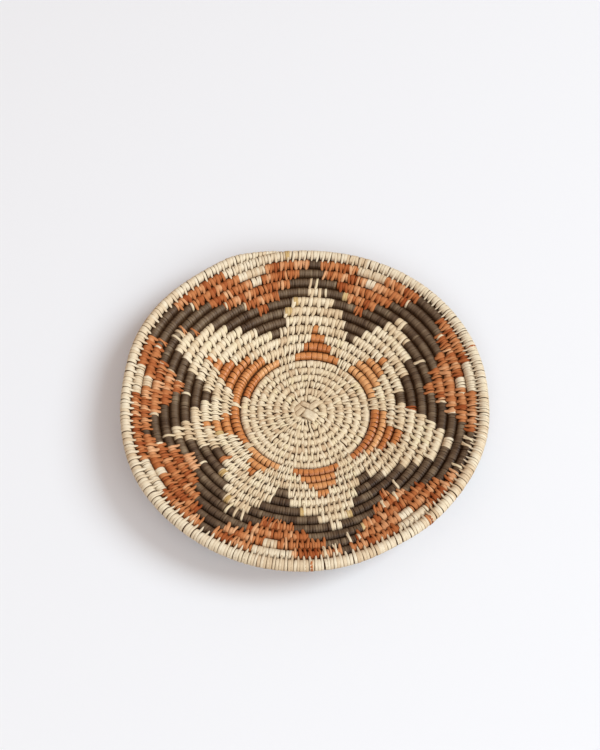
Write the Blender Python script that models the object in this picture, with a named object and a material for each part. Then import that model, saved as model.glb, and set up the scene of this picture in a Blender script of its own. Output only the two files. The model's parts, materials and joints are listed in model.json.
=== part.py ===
"""Round coiled basket: a shallow bowl wound from one wrapped grass coil.

Units are metres and +Z is up. The origin is the middle of the flat underside.
A place along the coil is given in turns. Turn 0 is the tapered end on the rim,
and the turns count inward, counterclockwise as seen from above.
"""

import math

import bmesh
import bpy
from mathutils import Vector

# Coil: its size on the wall and on the centre disc
RIM_RADIUS = 0.170
WALL_COIL_DIAMETER = 0.0092
DISC_COIL_DIAMETER = 0.0076
SIZE_CHANGE_TURNS = 0.5
WRAP_THICKNESS = 0.0012
COIL_END_DEGREES = 98.0
COIL_INNER_END_RADIUS = 0.008
TAPER_LENGTH = 0.050
TAPER_TIP_SHARE = 0.35
GROOVE_SHARE = 0.5

# Bowl: how the wall rises from the flat underside
RIM_RISE = 0.030
WALL_CURVE = 1.25
FLAT_CUT = 0.0005
FLAT_ROWS = 1.0

# Centre patch
PATCH_HEIGHT = 0.0062
PATCH_SHOULDER_SHARE = 0.72
PATCH_TOP_SHARE = 0.8

# Clearances
ZONE_GAP = 0.0003
CORE_GAP = 0.0004
SHORTEST_BRIDGE = 0.0006
SHORTEST_CELL = 0.0012

# Mesh
STATIONS_PER_TURN = 20
TICKS_PER_TURN = 1000000
SHARP_DEGREES = 40.0
STATION_MERGE_DEGREES = 0.7
ROUNDING = 1e-9

# Star: the direction of each point's tip and of each notch beside it
TIP_DEGREES = (149.5, 194.5, 237.5, 283.0, 338.0, 400.0, 446.5)
NOTCH_DEGREES = (108.0, 174.0, 212.0, 257.0, 304.5, 366.0, 421.0)
LAST_INSET_ROW = 2

# Colour chart, one line to a row and row 1 next to the rim. Each row starts where the coil's
# end lies, and each letter names the strip from that direction on:
# C cream, T terracotta, D dark, P petal.
FIRST_ROW = 1
COLOUR_CHART = (
    "C98 T120.5 D142 T156 C168 T179 C205 T217.5 D235 T239.5 C253 T265.5 C301.5 T313 D329.5"
    " T345.5 C362 T373.5 D393.5 T405 C419.5 T430",
    "T98 C105.5 T116 D136.5 T157.5 D231 T241.5 D276.5 T287 D324 T349.5 D388.5 T406.5 D443"
    " T452.5",
    "T98 D131.5 T163.5 D187.5 T200 D226.5 T248.5 D271 T291.5 D320 T353.5 D381.5 T412 D437 T457",
    "T98 D127 C146 D156.5 T166.5 D182.5 T202 D221.5 T253 D265.5 C279.5 D284 T298 D313.5"
    " C331 D346 T359 D376 C400.5 D405.5 T417.5 D431 C443 D449",
    "D98 T103 D119.5 C137 D158 T170 D175.5 C192.5 D199 T207.5 D216 C233 D246 C275 D289.5"
    " C326.5 D349.5 C394 D408 C436.5 D456.5",
    "D98 C132.5 D163 C190 D200.5 C230 D249 C267.5 D292.5 C323 D353.5 C386 D411.5 C430.5",
    "C98 D101.5 C127 D165.5 C182 D206 C222 D253 C262 D296.5 C313.5 D358 C378 D415 C427",
    "C98 D101.5 C120 P149 C155 D171 C177 D209 C215 D253.5 C260 P276.5 C283 D301.5 C308"
    " P333 C343 D362 C369.5 D418 C423.5",
    "C98 D104 C112.5 P145 C159.5 P190.5 C201 P231.5 C236.5 P271.5 C289 P326 C345 P385.5 C401.5"
    " P436.5 C446.5",
    "C98 P135 C164 P185 C203 P226.5 C241 P266.5 C290.5 P319 C357.5 P379 C405.5 P429.5 C451.5",
    "C98 P127 C175 P178.5 C214 P219.5 C248.5 P260 C296.5 P309 C359 P370.5 C407.5 P419.5",
    "P98 C100 P115.5",
)
DISC_START_DEGREES = 166.0

# Finishes: colour, roughness, metallic
FINISHES = {
    "cream_wrap": ((0.75, 0.61, 0.38, 1.0), 0.75, 0.0),
    "terracotta_wrap": ((0.52, 0.16, 0.05, 1.0), 0.7, 0.0),
    "petal_wrap": ((0.61, 0.21, 0.06, 1.0), 0.55, 0.0),
    "dark_wrap": ((0.07, 0.045, 0.03, 1.0), 0.5, 0.0),
    "grass_core": ((0.50, 0.40, 0.22, 1.0), 0.85, 0.0),
    "woven_patch": ((0.72, 0.58, 0.35, 1.0), 0.8, 0.0),
}

# Sizes worked out from those above
FULL_TURN_DEGREES = 360.0
DISC_START_TURN = len(COLOUR_CHART) + (DISC_START_DEGREES - COIL_END_DEGREES) / FULL_TURN_DEGREES
DISC_RADIUS = RIM_RADIUS - DISC_START_TURN * WALL_COIL_DIAMETER
INNER_END_TURN = DISC_START_TURN + (DISC_RADIUS - COIL_INNER_END_RADIUS) / DISC_COIL_DIAMETER
FLAT_RADIUS = DISC_RADIUS - FLAT_ROWS * DISC_COIL_DIAMETER
TAPER_TURNS = TAPER_LENGTH / (math.tau * RIM_RADIUS)
MIDDLE_RADIUS = (RIM_RADIUS + DISC_RADIUS) / 2
GAP_TURNS = ZONE_GAP / (math.tau * MIDDLE_RADIUS)
SHORTEST_CELL_TURNS = SHORTEST_CELL / (math.tau * MIDDLE_RADIUS)
QUARTER_TURN = 1 / 4


def clear_scene():
    """Remove whatever the scene holds."""
    for old in list(bpy.data.objects):
        bpy.data.objects.remove(old, do_unlink=True)


def finish(name):
    """Return the named material."""
    colour, roughness, metallic = FINISHES[name]
    material = bpy.data.materials.new(name)
    material.use_nodes = True
    shader = material.node_tree.nodes["Principled BSDF"]
    shader.inputs["Base Color"].default_value = colour
    shader.inputs["Roughness"].default_value = roughness
    shader.inputs["Metallic"].default_value = metallic
    material.diffuse_color = colour
    return material


def add_object(name, mesh_maker, material):
    """Turn a closed bmesh into a named object."""
    bmesh.ops.recalc_face_normals(mesh_maker, faces=mesh_maker.faces)
    mesh = bpy.data.meshes.new(name)
    mesh_maker.to_mesh(mesh)
    mesh_maker.free()
    mesh.materials.append(material)
    mesh.shade_smooth()
    mesh.set_sharp_from_angle(angle=math.radians(SHARP_DEGREES))
    piece = bpy.data.objects.new(name, mesh)
    bpy.context.collection.objects.link(piece)
    return piece


# Coil line


def wall_share(turn):
    """How far the coil has its wall size: 0 on the disc, 1 a little way out on the wall."""
    share = min(1.0, max(0.0, (DISC_START_TURN - turn) / SIZE_CHANGE_TURNS))
    return share * share * (3 - 2 * share)


def coil_radius(turn):
    """Distance of the coil's centreline from the basket's axis."""
    if turn < DISC_START_TURN:
        return RIM_RADIUS - turn * WALL_COIL_DIAMETER
    return DISC_RADIUS - (turn - DISC_START_TURN) * DISC_COIL_DIAMETER


def coil_half_height(turn):
    """Half the coil's height."""
    share = wall_share(turn)
    return (WALL_COIL_DIAMETER * share + DISC_COIL_DIAMETER * (1 - share)) / 2


def coil_height(turn):
    """Height of the coil's centreline over the ground."""
    reach = (coil_radius(turn) - FLAT_RADIUS) / (RIM_RADIUS - FLAT_RADIUS)
    rise = RIM_RISE * max(0.0, reach) ** WALL_CURVE
    return coil_half_height(turn) - FLAT_CUT * (1 - wall_share(turn)) + rise


def direction(turn):
    """Unit vector from the axis towards the coil at a turn."""
    angle = math.radians(COIL_END_DEGREES) + math.tau * turn
    return Vector((math.cos(angle), math.sin(angle), 0.0))


def true_centre(turn):
    """Point on the coil's true centreline."""
    return direction(turn) * coil_radius(turn) + Vector((0.0, 0.0, coil_height(turn)))


def station_number(turn):
    """Position of a turn among the fixed stations, which lie in the same directions in every row."""
    return (turn + COIL_END_DEGREES / FULL_TURN_DEGREES) * STATIONS_PER_TURN


def station_turn(number):
    """Turn at a fixed station."""
    return number / STATIONS_PER_TURN - COIL_END_DEGREES / FULL_TURN_DEGREES


def on_stations(turn, place):
    """Value of place(turn) on the straight runs between the fixed stations."""
    number = station_number(turn)
    before = math.floor(number + ROUNDING)
    share = number - before
    first = place(station_turn(before))
    if share < ROUNDING:
        return first
    return first * (1 - share) + place(station_turn(before + 1)) * share


def centre(turn):
    """Point on the coil's centreline, on its straight runs."""
    return on_stations(turn, true_centre)


def groove(turn):
    """Point half way between a turn of the coil and the turn outside it."""
    return on_stations(turn, lambda at: (true_centre(at) + true_centre(at - 1)) / 2)


def up(length):
    """Upward offset."""
    return Vector((0.0, 0.0, length))


# Zones of one colour


def ticks(turn):
    """A turn as a whole number, so that shared places compare equal."""
    return round(turn * TICKS_PER_TURN)


def turns(tick):
    """The turn of a whole number of ticks."""
    return tick / TICKS_PER_TURN


def colour_stretches():
    """List the colour of each stretch of the coil as (first turn, last turn, letter)."""
    changes = []
    for row, line in enumerate(COLOUR_CHART, FIRST_ROW):
        for mark in line.split():
            turn = row + (float(mark[1:]) - COIL_END_DEGREES) / FULL_TURN_DEGREES
            if not changes or changes[-1][1] != mark[0]:
                changes.append((turn, mark[0]))
    ends = [turn for turn, _ in changes[1:]] + [DISC_START_TURN]
    return [(start, end, letter) for (start, letter), end in zip(changes, ends)]


def row_of(turn):
    """Row that a turn lies in, with the rim as row 0."""
    return math.floor(turn)


def zone_kind(letter, turn):
    """Kind of zone that a colour makes in a row."""
    if letter == "C":
        return "rim_inset" if row_of(turn) <= LAST_INSET_ROW else "star_point"
    return {"T": "terracotta_border", "D": "dark_chevron", "P": "petal_wrap"}[letter]


def sector(turn, limits):
    """Number, from 1, of the sector between two of the directions in limits."""
    degrees = (COIL_END_DEGREES + FULL_TURN_DEGREES * turn - limits[0]) % FULL_TURN_DEGREES
    return sum(degrees >= (limit - limits[0]) % FULL_TURN_DEGREES for limit in limits)


def cuts_between(start, end, limits):
    """Turns between start and end at which the coil passes one of the directions."""
    found = []
    for limit in limits:
        first = (limit - COIL_END_DEGREES) / FULL_TURN_DEGREES
        turn = first + math.ceil(start - first)
        if start + SHORTEST_CELL_TURNS < turn < end - SHORTEST_CELL_TURNS:
            found.append(turn)
    return sorted(found)


def zone_cells():
    """Split the coil into cells and sort them by zone: {zone name: [(first tick, last tick)]}."""
    zones = {}
    for start, end, letter in colour_stretches():
        kind = zone_kind(letter, (start + end) / 2)
        limits = NOTCH_DEGREES if kind in ("star_point", "dark_chevron") else TIP_DEGREES
        owners = TIP_DEGREES if kind in ("rim_inset", "terracotta_border") else NOTCH_DEGREES
        cuts = [] if kind == "petal_wrap" else cuts_between(start, end, limits)
        edges = [start] + cuts + [end]
        for first, last in zip(edges, edges[1:]):
            name = f"{kind}_{sector((first + last) / 2, owners)}"
            cell = (ticks(first + GAP_TURNS / 2), ticks(last - GAP_TURNS / 2))
            zones.setdefault(name, []).append(cell)
    return zones


class Zone:
    """A body made of neighbouring stretches of the wrapped coil, each with a bore for the core."""

    def __init__(self, cells, flat_under=False):
        self.cells = cells
        self.flat_under = flat_under
        self.maker = bmesh.new()
        self.shared_points = {}

    def build(self):
        """Make every cell and return the closed bmesh."""
        for cell in self.cells:
            self.add_cell(cell)
        return self.maker

    def stations(self, cell):
        """Ticks of the rings of a cell: its ends and the fixed stations between them."""
        first, last = cell
        closest = ticks(STATION_MERGE_DEGREES / FULL_TURN_DEGREES)
        number = math.ceil(station_number(turns(first)))
        inner = []
        while ticks(station_turn(number)) < last - closest:
            if ticks(station_turn(number)) > first + closest:
                inner.append(ticks(station_turn(number)))
            number += 1
        return [first] + inner + [last]

    def joined_runs(self, cell, step):
        """Runs of a cell that touch the same zone one row in (step 1) or out (step -1)."""
        first, last = cell
        shift = step * TICKS_PER_TURN
        shortest = ticks(SHORTEST_BRIDGE / (math.tau * coil_radius(turns(first))))
        runs = []
        for other in self.cells:
            low = max(first, other[0] - shift)
            high = min(last, other[1] - shift)
            if high - low > shortest:
                runs.append((low, high, other))
        return sorted(runs)

    def side_line(self, cell, step):
        """Vertices along one side of a cell: [(tick, upper, lower, wall starts here)]."""
        shift = step * TICKS_PER_TURN
        runs = self.joined_runs(cell, step)
        places = set(self.stations(cell))
        for low, high, other in runs:
            places.update((low, high))
            places.update(s - shift for s in self.stations(other) if low < s - shift < high)
        line = []
        for tick in sorted(places):
            joined = any(low <= tick <= high for low, high, _ in runs)
            opens_run = any(low <= tick < high for low, high, _ in runs)
            line.append((tick, *self.side_points(tick, step, joined), not opens_run))
        return line

    def side_points(self, tick, step, joined):
        """The upper and lower vertex of a cell's side, shared where the rows are joined."""
        groove_tick = tick + TICKS_PER_TURN if step > 0 else tick
        key = (groove_tick, 0 if joined else step)
        if key not in self.shared_points:
            turn = turns(groove_tick)
            middle = groove(turn)
            if not joined:
                middle = middle + direction(turn) * (step * ZONE_GAP / 2)
            half = coil_half_height(turns(tick)) * GROOVE_SHARE
            self.shared_points[key] = (
                self.maker.verts.new(middle + up(half)),
                self.maker.verts.new(middle - up(half)),
            )
        return self.shared_points[key]

    def ring(self, tick):
        """Ridge vertices over and under the coil, and the bore's four vertices."""
        turn = turns(tick)
        middle = centre(turn)
        half = coil_half_height(turn)
        bore = half - WRAP_THICKNESS
        outward = direction(turn)
        add = self.maker.verts.new
        if self.flat_under:
            groove_half = half * GROOVE_SHARE
            width = half * FLAT_CUT / (half - groove_half)
            low = middle - up(half - FLAT_CUT)
            under = [add(low + outward * width), add(low - outward * width)]
        else:
            under = [add(middle - up(half))]
        return {
            "over": add(middle + up(half)),
            "under": under,
            "bore": [
                add(middle + up(bore)),
                add(middle + outward * bore),
                add(middle - up(bore)),
                add(middle - outward * bore),
            ],
        }

    def add_cell(self, cell):
        """Make one stretch of the wrapped coil."""
        stations = self.stations(cell)
        rings = [self.ring(tick) for tick in stations]
        outer = self.side_line(cell, -1)
        inner = self.side_line(cell, 1)
        for index in range(len(stations) - 1):
            near, far = rings[index], rings[index + 1]
            span = (stations[index], stations[index + 1])
            for line, ridge in ((outer, 0), (inner, -1)):
                part = [entry for entry in line if span[0] <= entry[0] <= span[1]]
                self.fan(near["over"], far["over"], [entry[1] for entry in part])
                self.fan(near["under"][ridge], far["under"][ridge], [entry[2] for entry in part])
                self.wall(part)
            if self.flat_under:
                self.face(near["under"][0], near["under"][1], far["under"][1], far["under"][0])
            self.tube(near["bore"], far["bore"])
        self.cap(rings[0], outer[0], inner[0])
        self.cap(rings[-1], outer[-1], inner[-1])

    def face(self, *corners):
        """Add a face."""
        self.maker.faces.new(corners)

    def fan(self, near, far, line):
        """Fill between a ridge edge and a line of side vertices."""
        for first, second in zip(line, line[1:]):
            self.face(near, first, second)
        self.face(near, line[-1], far)

    def wall(self, part):
        """Close a side where the next row belongs to another zone."""
        for first, second in zip(part, part[1:]):
            if first[3]:
                self.face(first[1], second[1], second[2], first[2])

    def tube(self, near, far):
        """Wall of the bore between two rings."""
        for index in range(len(near)):
            after = (index + 1) % len(near)
            self.face(near[index], near[after], far[after], far[index])

    def cap(self, ring, outer, inner):
        """End face round the bore."""
        outline = [ring["over"], outer[1], outer[2], *ring["under"], inner[2], inner[1]]
        open_end(self.maker, outline, ring["bore"])


def open_end(maker, outline, bore):
    """End face between a wrap's outline and its bore, both in order from the top outward."""
    over, out_up, out_low, *under, in_low, in_up = outline
    top, out, bottom, back = bore
    maker.faces.new((over, out_up, top))
    maker.faces.new((out_up, out, top))
    maker.faces.new((out_up, out_low, out))
    maker.faces.new((out_low, bottom, out))
    maker.faces.new((out_low, under[0], bottom))
    if len(under) > 1:
        maker.faces.new((under[0], under[1], bottom))
    maker.faces.new((under[-1], in_low, bottom))
    maker.faces.new((in_low, back, bottom))
    maker.faces.new((in_low, in_up, back))
    maker.faces.new((in_up, top, back))
    maker.faces.new((in_up, over, top))


# Rim


def rim_section(turn):
    """Outline of the rim's wrap, drawn in towards the row inside it where the coil tapers."""
    middle = centre(turn)
    outward = direction(turn)
    half = coil_half_height(turn)
    groove_half = half * GROOVE_SHARE
    inner = groove(turn + 1) + outward * (ZONE_GAP / 2)
    outer = groove(turn)
    share = TAPER_TIP_SHARE + (1 - TAPER_TIP_SHARE) * min(1.0, turn / TAPER_TURNS)
    outline = [
        middle + up(half),
        outer + up(groove_half),
        outer - up(groove_half),
        middle - up(half),
        inner - up(groove_half),
        inner + up(groove_half),
    ]
    return [inner + (point - inner) * share for point in outline]


def bore_section(turn, clearance=0.0):
    """Outline of the bore, or of the core that lies in it with a clearance."""
    middle = centre(turn)
    outward = direction(turn)
    half = coil_half_height(turn) - WRAP_THICKNESS - clearance
    return [middle + up(half), middle + outward * half, middle - up(half), middle - outward * half]


def stations_between(first, last):
    """Turns of the fixed stations between two turns, with the two themselves."""
    closest = STATION_MERGE_DEGREES / FULL_TURN_DEGREES
    numbers = range(math.ceil(station_number(first)), math.ceil(station_number(last)))
    inner = [station_turn(number) for number in numbers]
    return [first] + [turn for turn in inner if first + closest < turn < last - closest] + [last]


def skin(maker, sections):
    """Join outlines into the wall of a tube and return the vertices of each."""
    rings = [[maker.verts.new(point) for point in section] for section in sections]
    for near, far in zip(rings, rings[1:]):
        for index in range(len(near)):
            after = (index + 1) % len(near)
            maker.faces.new((near[index], near[after], far[after], far[index]))
    return rings


def rim_wrap():
    """Wrap of the outermost turn: tapered and closed at the coil's end, bored from there on."""
    maker = bmesh.new()
    last = FIRST_ROW - GAP_TURNS / 2
    outside = sorted({TAPER_TURNS, *stations_between(0.0, last)})
    outer = skin(maker, [rim_section(turn) for turn in outside])
    bore = skin(maker, [bore_section(turn) for turn in stations_between(TAPER_TURNS, last)])
    maker.faces.new(outer[0])
    maker.faces.new(bore[0])
    open_end(maker, outer[-1], bore[-1])
    return maker


# Core


def foundation_coil():
    """The bundle of grass inside the wraps: one unbroken tube from the rim to the centre."""
    maker = bmesh.new()
    first = TAPER_TURNS + GAP_TURNS
    last = INNER_END_TURN - GAP_TURNS
    line = stations_between(first, last)
    rings = skin(maker, [bore_section(turn, CORE_GAP) for turn in line])
    maker.faces.new(rings[0])
    maker.faces.new(rings[-1])
    print(f"foundation_coil: {last - first:.1f} loops, least gap {least_gap(line) * 1000:.2f} mm")
    return maker


def least_gap(line):
    """Least gap between one loop of the core and the next, measured on points along it."""
    gaps = []
    for turn in line:
        if turn + 1 > line[-1]:
            break
        width = core_half(turn) + core_half(turn + 1)
        gaps.append((centre(turn) - centre(turn + 1)).length - width)
    return min(gaps)


def core_half(turn):
    """Half the width of the core."""
    return coil_half_height(turn) - WRAP_THICKNESS - CORE_GAP


# Centre patch


def start_patch():
    """Woven pad that the coil starts from: it fills the space inside the innermost turn."""
    maker = bmesh.new()
    line = stations_between(INNER_END_TURN - 1, INNER_END_TURN)[1:]
    outline = [groove(turn + 1) - direction(turn) * ZONE_GAP for turn in line]
    step = groove(INNER_END_TURN) - direction(INNER_END_TURN) * ZONE_GAP
    side = direction(INNER_END_TURN + QUARTER_TURN) * ZONE_GAP
    outline.append(outline[-1] + side)
    outline.append(step + side)
    levels = (
        (0.0, 1.0),
        (PATCH_HEIGHT * PATCH_SHOULDER_SHARE, 1.0),
        (PATCH_HEIGHT, PATCH_TOP_SHARE),
    )
    sections = [
        [Vector((point.x * share, point.y * share, height)) for point in outline]
        for height, share in levels
    ]
    rings = skin(maker, sections)
    maker.faces.new(rings[0])
    maker.faces.new(rings[-1])
    return maker


# Assembly

ZONE_FINISHES = {
    "rim_inset": "cream_wrap",
    "star_point": "cream_wrap",
    "terracotta_border": "terracotta_wrap",
    "dark_chevron": "dark_wrap",
    "petal_wrap": "petal_wrap",
}


def main():
    """Build the basket."""
    clear_scene()
    materials = {name: finish(name) for name in FINISHES}
    add_object("foundation_coil", foundation_coil(), materials["grass_core"])
    add_object("start_patch", start_patch(), materials["woven_patch"])
    disc = (ticks(DISC_START_TURN + GAP_TURNS / 2), ticks(INNER_END_TURN))
    add_object("centre_wrap", Zone([disc], flat_under=True).build(), materials["cream_wrap"])
    add_object("rim_wrap", rim_wrap(), materials["cream_wrap"])
    for name, cells in sorted(zone_cells().items()):
        material = materials[ZONE_FINISHES[name.rsplit("_", 1)[0]]]
        add_object(name, Zone(cells).build(), material)


main()
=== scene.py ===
"""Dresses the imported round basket: palm strips wrapped and stitched round a coil of grass.

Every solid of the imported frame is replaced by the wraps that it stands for. A place along the
coil is given in turns, as in the solids: turn 0 is the tapered end on the rim, and the turns
count inward, counterclockwise as seen from above.
"""

import json
import logging
import math
import random
from dataclasses import dataclass, field
from enum import Enum

import bmesh
import bpy
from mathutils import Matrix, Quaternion, Vector

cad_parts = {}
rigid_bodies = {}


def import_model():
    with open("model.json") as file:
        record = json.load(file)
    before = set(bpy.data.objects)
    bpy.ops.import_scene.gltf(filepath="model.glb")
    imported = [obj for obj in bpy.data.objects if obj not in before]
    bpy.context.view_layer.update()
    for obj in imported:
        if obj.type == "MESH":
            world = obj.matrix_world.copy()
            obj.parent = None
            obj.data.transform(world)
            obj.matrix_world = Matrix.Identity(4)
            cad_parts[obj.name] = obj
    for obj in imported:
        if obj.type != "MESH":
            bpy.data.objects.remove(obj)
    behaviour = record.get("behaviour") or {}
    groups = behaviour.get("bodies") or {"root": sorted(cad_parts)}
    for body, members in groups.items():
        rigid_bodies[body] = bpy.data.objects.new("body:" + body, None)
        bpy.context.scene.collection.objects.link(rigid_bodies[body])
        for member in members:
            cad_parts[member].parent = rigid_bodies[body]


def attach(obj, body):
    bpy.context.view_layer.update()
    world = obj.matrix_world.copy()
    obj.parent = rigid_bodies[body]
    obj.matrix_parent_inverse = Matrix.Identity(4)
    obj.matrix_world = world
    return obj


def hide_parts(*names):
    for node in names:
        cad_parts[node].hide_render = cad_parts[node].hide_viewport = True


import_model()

LOG = logging.getLogger("basket")
FULL_TURN = 360.0
ROOT_BODY = "root"
STRIP_UV = "strip_uv"
VECTOR = "FLOAT_VECTOR"
NODE_GAP = 180.0

Socket = bpy.types.NodeSocket
Colour = tuple[float, float, float]


class Strip(Enum):
    """Colour of a palm strip, by its letter in the colour chart."""

    CREAM = "C"
    TERRACOTTA = "T"
    DARK = "D"
    PETAL = "P"


class Zone(Enum):
    """Kind of zone that the wraps of one colour make."""

    RIM = "rim_wrap"
    INSET = "rim_inset"
    BORDER = "terracotta_border"
    CHEVRON = "dark_chevron"
    STAR = "star_point"
    PETAL = "petal_wrap"
    DISC = "centre_wrap"


class Wrap(Enum):
    """Kind of single wrap."""

    PILLOW = "pillow_wrap"
    FLAT = "flat_wrap"
    SMOOTH = "smooth_wrap"
    BEAD = "bead_wrap"
    STITCH = "long_stitch"
    SHORT_STITCH = "short_stitch"
    RIM_STITCH = "rim_stitch"


class Salt(Enum):
    """Offset of the seed for each random draw of the wraps."""

    SLIDE = 11
    RUN_TINT = 23
    TINT = 37
    LOT = 41
    SLIP = 47
    TILT = 53
    WIDTH = 67
    SWELL = 71
    WRAP_PICK = 83
    STITCH_PICK = 89


@dataclass(frozen=True)
class CoilLine:
    """The line that the coil follows from the rim to the centre, in metres.

    The sizes are those of the solids in the frame. The drift and the dents are finer ones of the
    strips: round the disc the rows lie a little farther out on one side, and the rim has two dents.
    """

    rim_radius: float = 0.170
    wall_pitch: float = 0.0092
    disc_pitch: float = 0.0076
    end_degrees: float = 98.0
    disc_start_row: int = 12
    disc_start_degrees: float = 166.0
    inner_end_radius: float = 0.008
    size_change_turns: float = 0.5
    rim_rise: float = 0.030
    wall_curve: float = 1.25
    flat_cut: float = 0.0005
    flat_rows: float = 1.0
    taper_length: float = 0.050
    taper_tip_share: float = 0.12
    taper_draw_share: float = 0.58
    small_step: float = 0.001
    drift: float = 0.0032
    drift_degrees: float = 325.0
    drift_reach: float = 0.020
    drift_hold: float = 1.2
    dents: tuple[tuple[float, float, float], ...] = ((190.0, 20.0, 0.0030), (297.0, 12.0, 0.0024))
    dent_rows: float = 3.0
    bulges: tuple[tuple[float, float, float], ...] = (
        (45.0, 26.0, 0.010), (98.0, 9.0, 0.006), (126.0, 14.0, -0.012), (172.0, 12.0, -0.012),
        (205.0, 16.0, 0.008), (255.0, 20.0, 0.006), (320.0, 20.0, -0.014), (0.0, 10.0, -0.007),
    )

    @property
    def disc_start(self) -> float:
        """Turn at which the disc starts."""
        return self.turn(self.disc_start_row, self.disc_start_degrees)

    @property
    def disc_radius(self) -> float:
        """Radius of the coil's line where the disc starts."""
        return self.rim_radius - self.disc_start * self.wall_pitch

    @property
    def inner_end(self) -> float:
        """Turn of the coil's inner end."""
        return self.disc_start + (self.disc_radius - self.inner_end_radius) / self.disc_pitch

    def turn(self, row: int, degrees: float) -> float:
        """Turn of a direction in a row."""
        return row + (degrees - self.end_degrees) / FULL_TURN

    def degrees(self, turn: float) -> float:
        """Direction of a turn, from 0 to 360 degrees."""
        return (self.end_degrees + FULL_TURN * turn) % FULL_TURN

    def wall_share(self, turn: float) -> float:
        """Share of the wall's size that the coil has at a turn: 0 on the disc, 1 on the wall."""
        share = min(1.0, max(0.0, (self.disc_start - turn) / self.size_change_turns))
        return share * share * (3 - 2 * share)

    def radius(self, turn: float) -> float:
        """Distance from the axis on an even coil."""
        on_wall, on_disc = min(turn, self.disc_start), max(0.0, turn - self.disc_start)
        return self.rim_radius - on_wall * self.wall_pitch - on_disc * self.disc_pitch

    def bell(self, turn: float, degrees: float, spread: float) -> float:
        """Share of a bulge or dent at a turn, 1 in its own direction and less to both sides."""
        away = (self.degrees(turn) - degrees + FULL_TURN / 2) % FULL_TURN - FULL_TURN / 2
        return math.exp(-((away / spread) ** 2))

    def uneven_radius(self, turn: float) -> float:
        """Distance from the axis, with the slight bulges and dents of the handmade rim.

        Args:
            turn: The place on the coil.

        Returns:
            The distance, even on the disc and the most uneven on the rim.
        """
        even = self.radius(turn)
        swell = sum(share * self.bell(turn, *place) for *place, share in self.bulges)
        reach = max(0.0, (even - self.disc_radius) / (self.rim_radius - self.disc_radius))
        dent = sum(depth * self.bell(turn, *place) for *place, depth in self.dents)
        dent *= max(0.0, 1 - turn / self.dent_rows)
        return even * (1 + swell * reach) + self.drifted(turn) - dent

    def drifted(self, turn: float) -> float:
        """Step outward of the rows round the disc.

        Args:
            turn: The place on the coil.

        Returns:
            The step, the largest on one side.
        """
        even = self.radius(turn)
        inside = min(1.0, even / self.disc_radius)
        past = (even - self.disc_radius) / self.drift_reach
        outside = min(1.0, max(0.0, self.drift_hold - past))
        side = (1 + math.cos(math.radians(self.degrees(turn) - self.drift_degrees))) / 2
        return self.drift * side * inside * outside

    def girth(self, turn: float) -> float:
        """Half the coil's height."""
        share = self.wall_share(turn)
        return (self.wall_pitch * share + self.disc_pitch * (1 - share)) / 2

    def taper(self, turn: float) -> float:
        """Share of its full size that the coil has near its end on the rim."""
        share = min(1.0, max(0.0, turn * math.tau * self.rim_radius / self.taper_length))
        return self.taper_tip_share + (1 - self.taper_tip_share) * share

    def height(self, turn: float) -> float:
        """Height of the line over the ground.

        Args:
            turn: The place on the coil.

        Returns:
            The height, with the flat cut under the disc.
        """
        flat_radius = self.disc_radius - self.flat_rows * self.disc_pitch
        reach = (self.radius(turn) - flat_radius) / (self.rim_radius - flat_radius)
        rise = self.rim_rise * max(0.0, reach) ** self.wall_curve
        return self.girth(turn) - self.flat_cut * (1 - self.wall_share(turn)) + rise

    def direction(self, turn: float) -> Vector:
        """Unit vector from the axis towards the line."""
        angle = math.radians(self.end_degrees) + math.tau * turn
        return Vector((math.cos(angle), math.sin(angle), 0.0))

    def on_row(self, turn: float) -> Vector:
        """Point on the line of a full-sized coil."""
        return self.direction(turn) * self.uneven_radius(turn) + Vector((0, 0, self.height(turn)))

    def along(self, turn: float) -> Vector:
        """Unit vector along the line."""
        before, after = turn - self.small_step, turn + self.small_step
        return (self.on_row(after) - self.on_row(before)).normalized()

    def inward(self, turn: float) -> Vector:
        """Step from the line to the same direction in the next row in."""
        return self.on_row(turn + 1) - self.on_row(turn)

    def point(self, turn: float) -> Vector:
        """Point on the coil's line, drawn in to the next row where the coil tapers."""
        drawn = (1 - self.taper(turn)) * self.taper_draw_share
        return self.on_row(turn) + self.inward(turn) * drawn


@dataclass(frozen=True)
class Stretch:
    """A stretch of the coil that is wrapped in one colour."""

    start: float
    end: float
    zone: Zone
    number: int = 0

    @property
    def piece(self) -> str:
        """Name of the solid that the stretch stands for."""
        return f"{self.zone.value}_{self.number}" if self.number else self.zone.value


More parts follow.
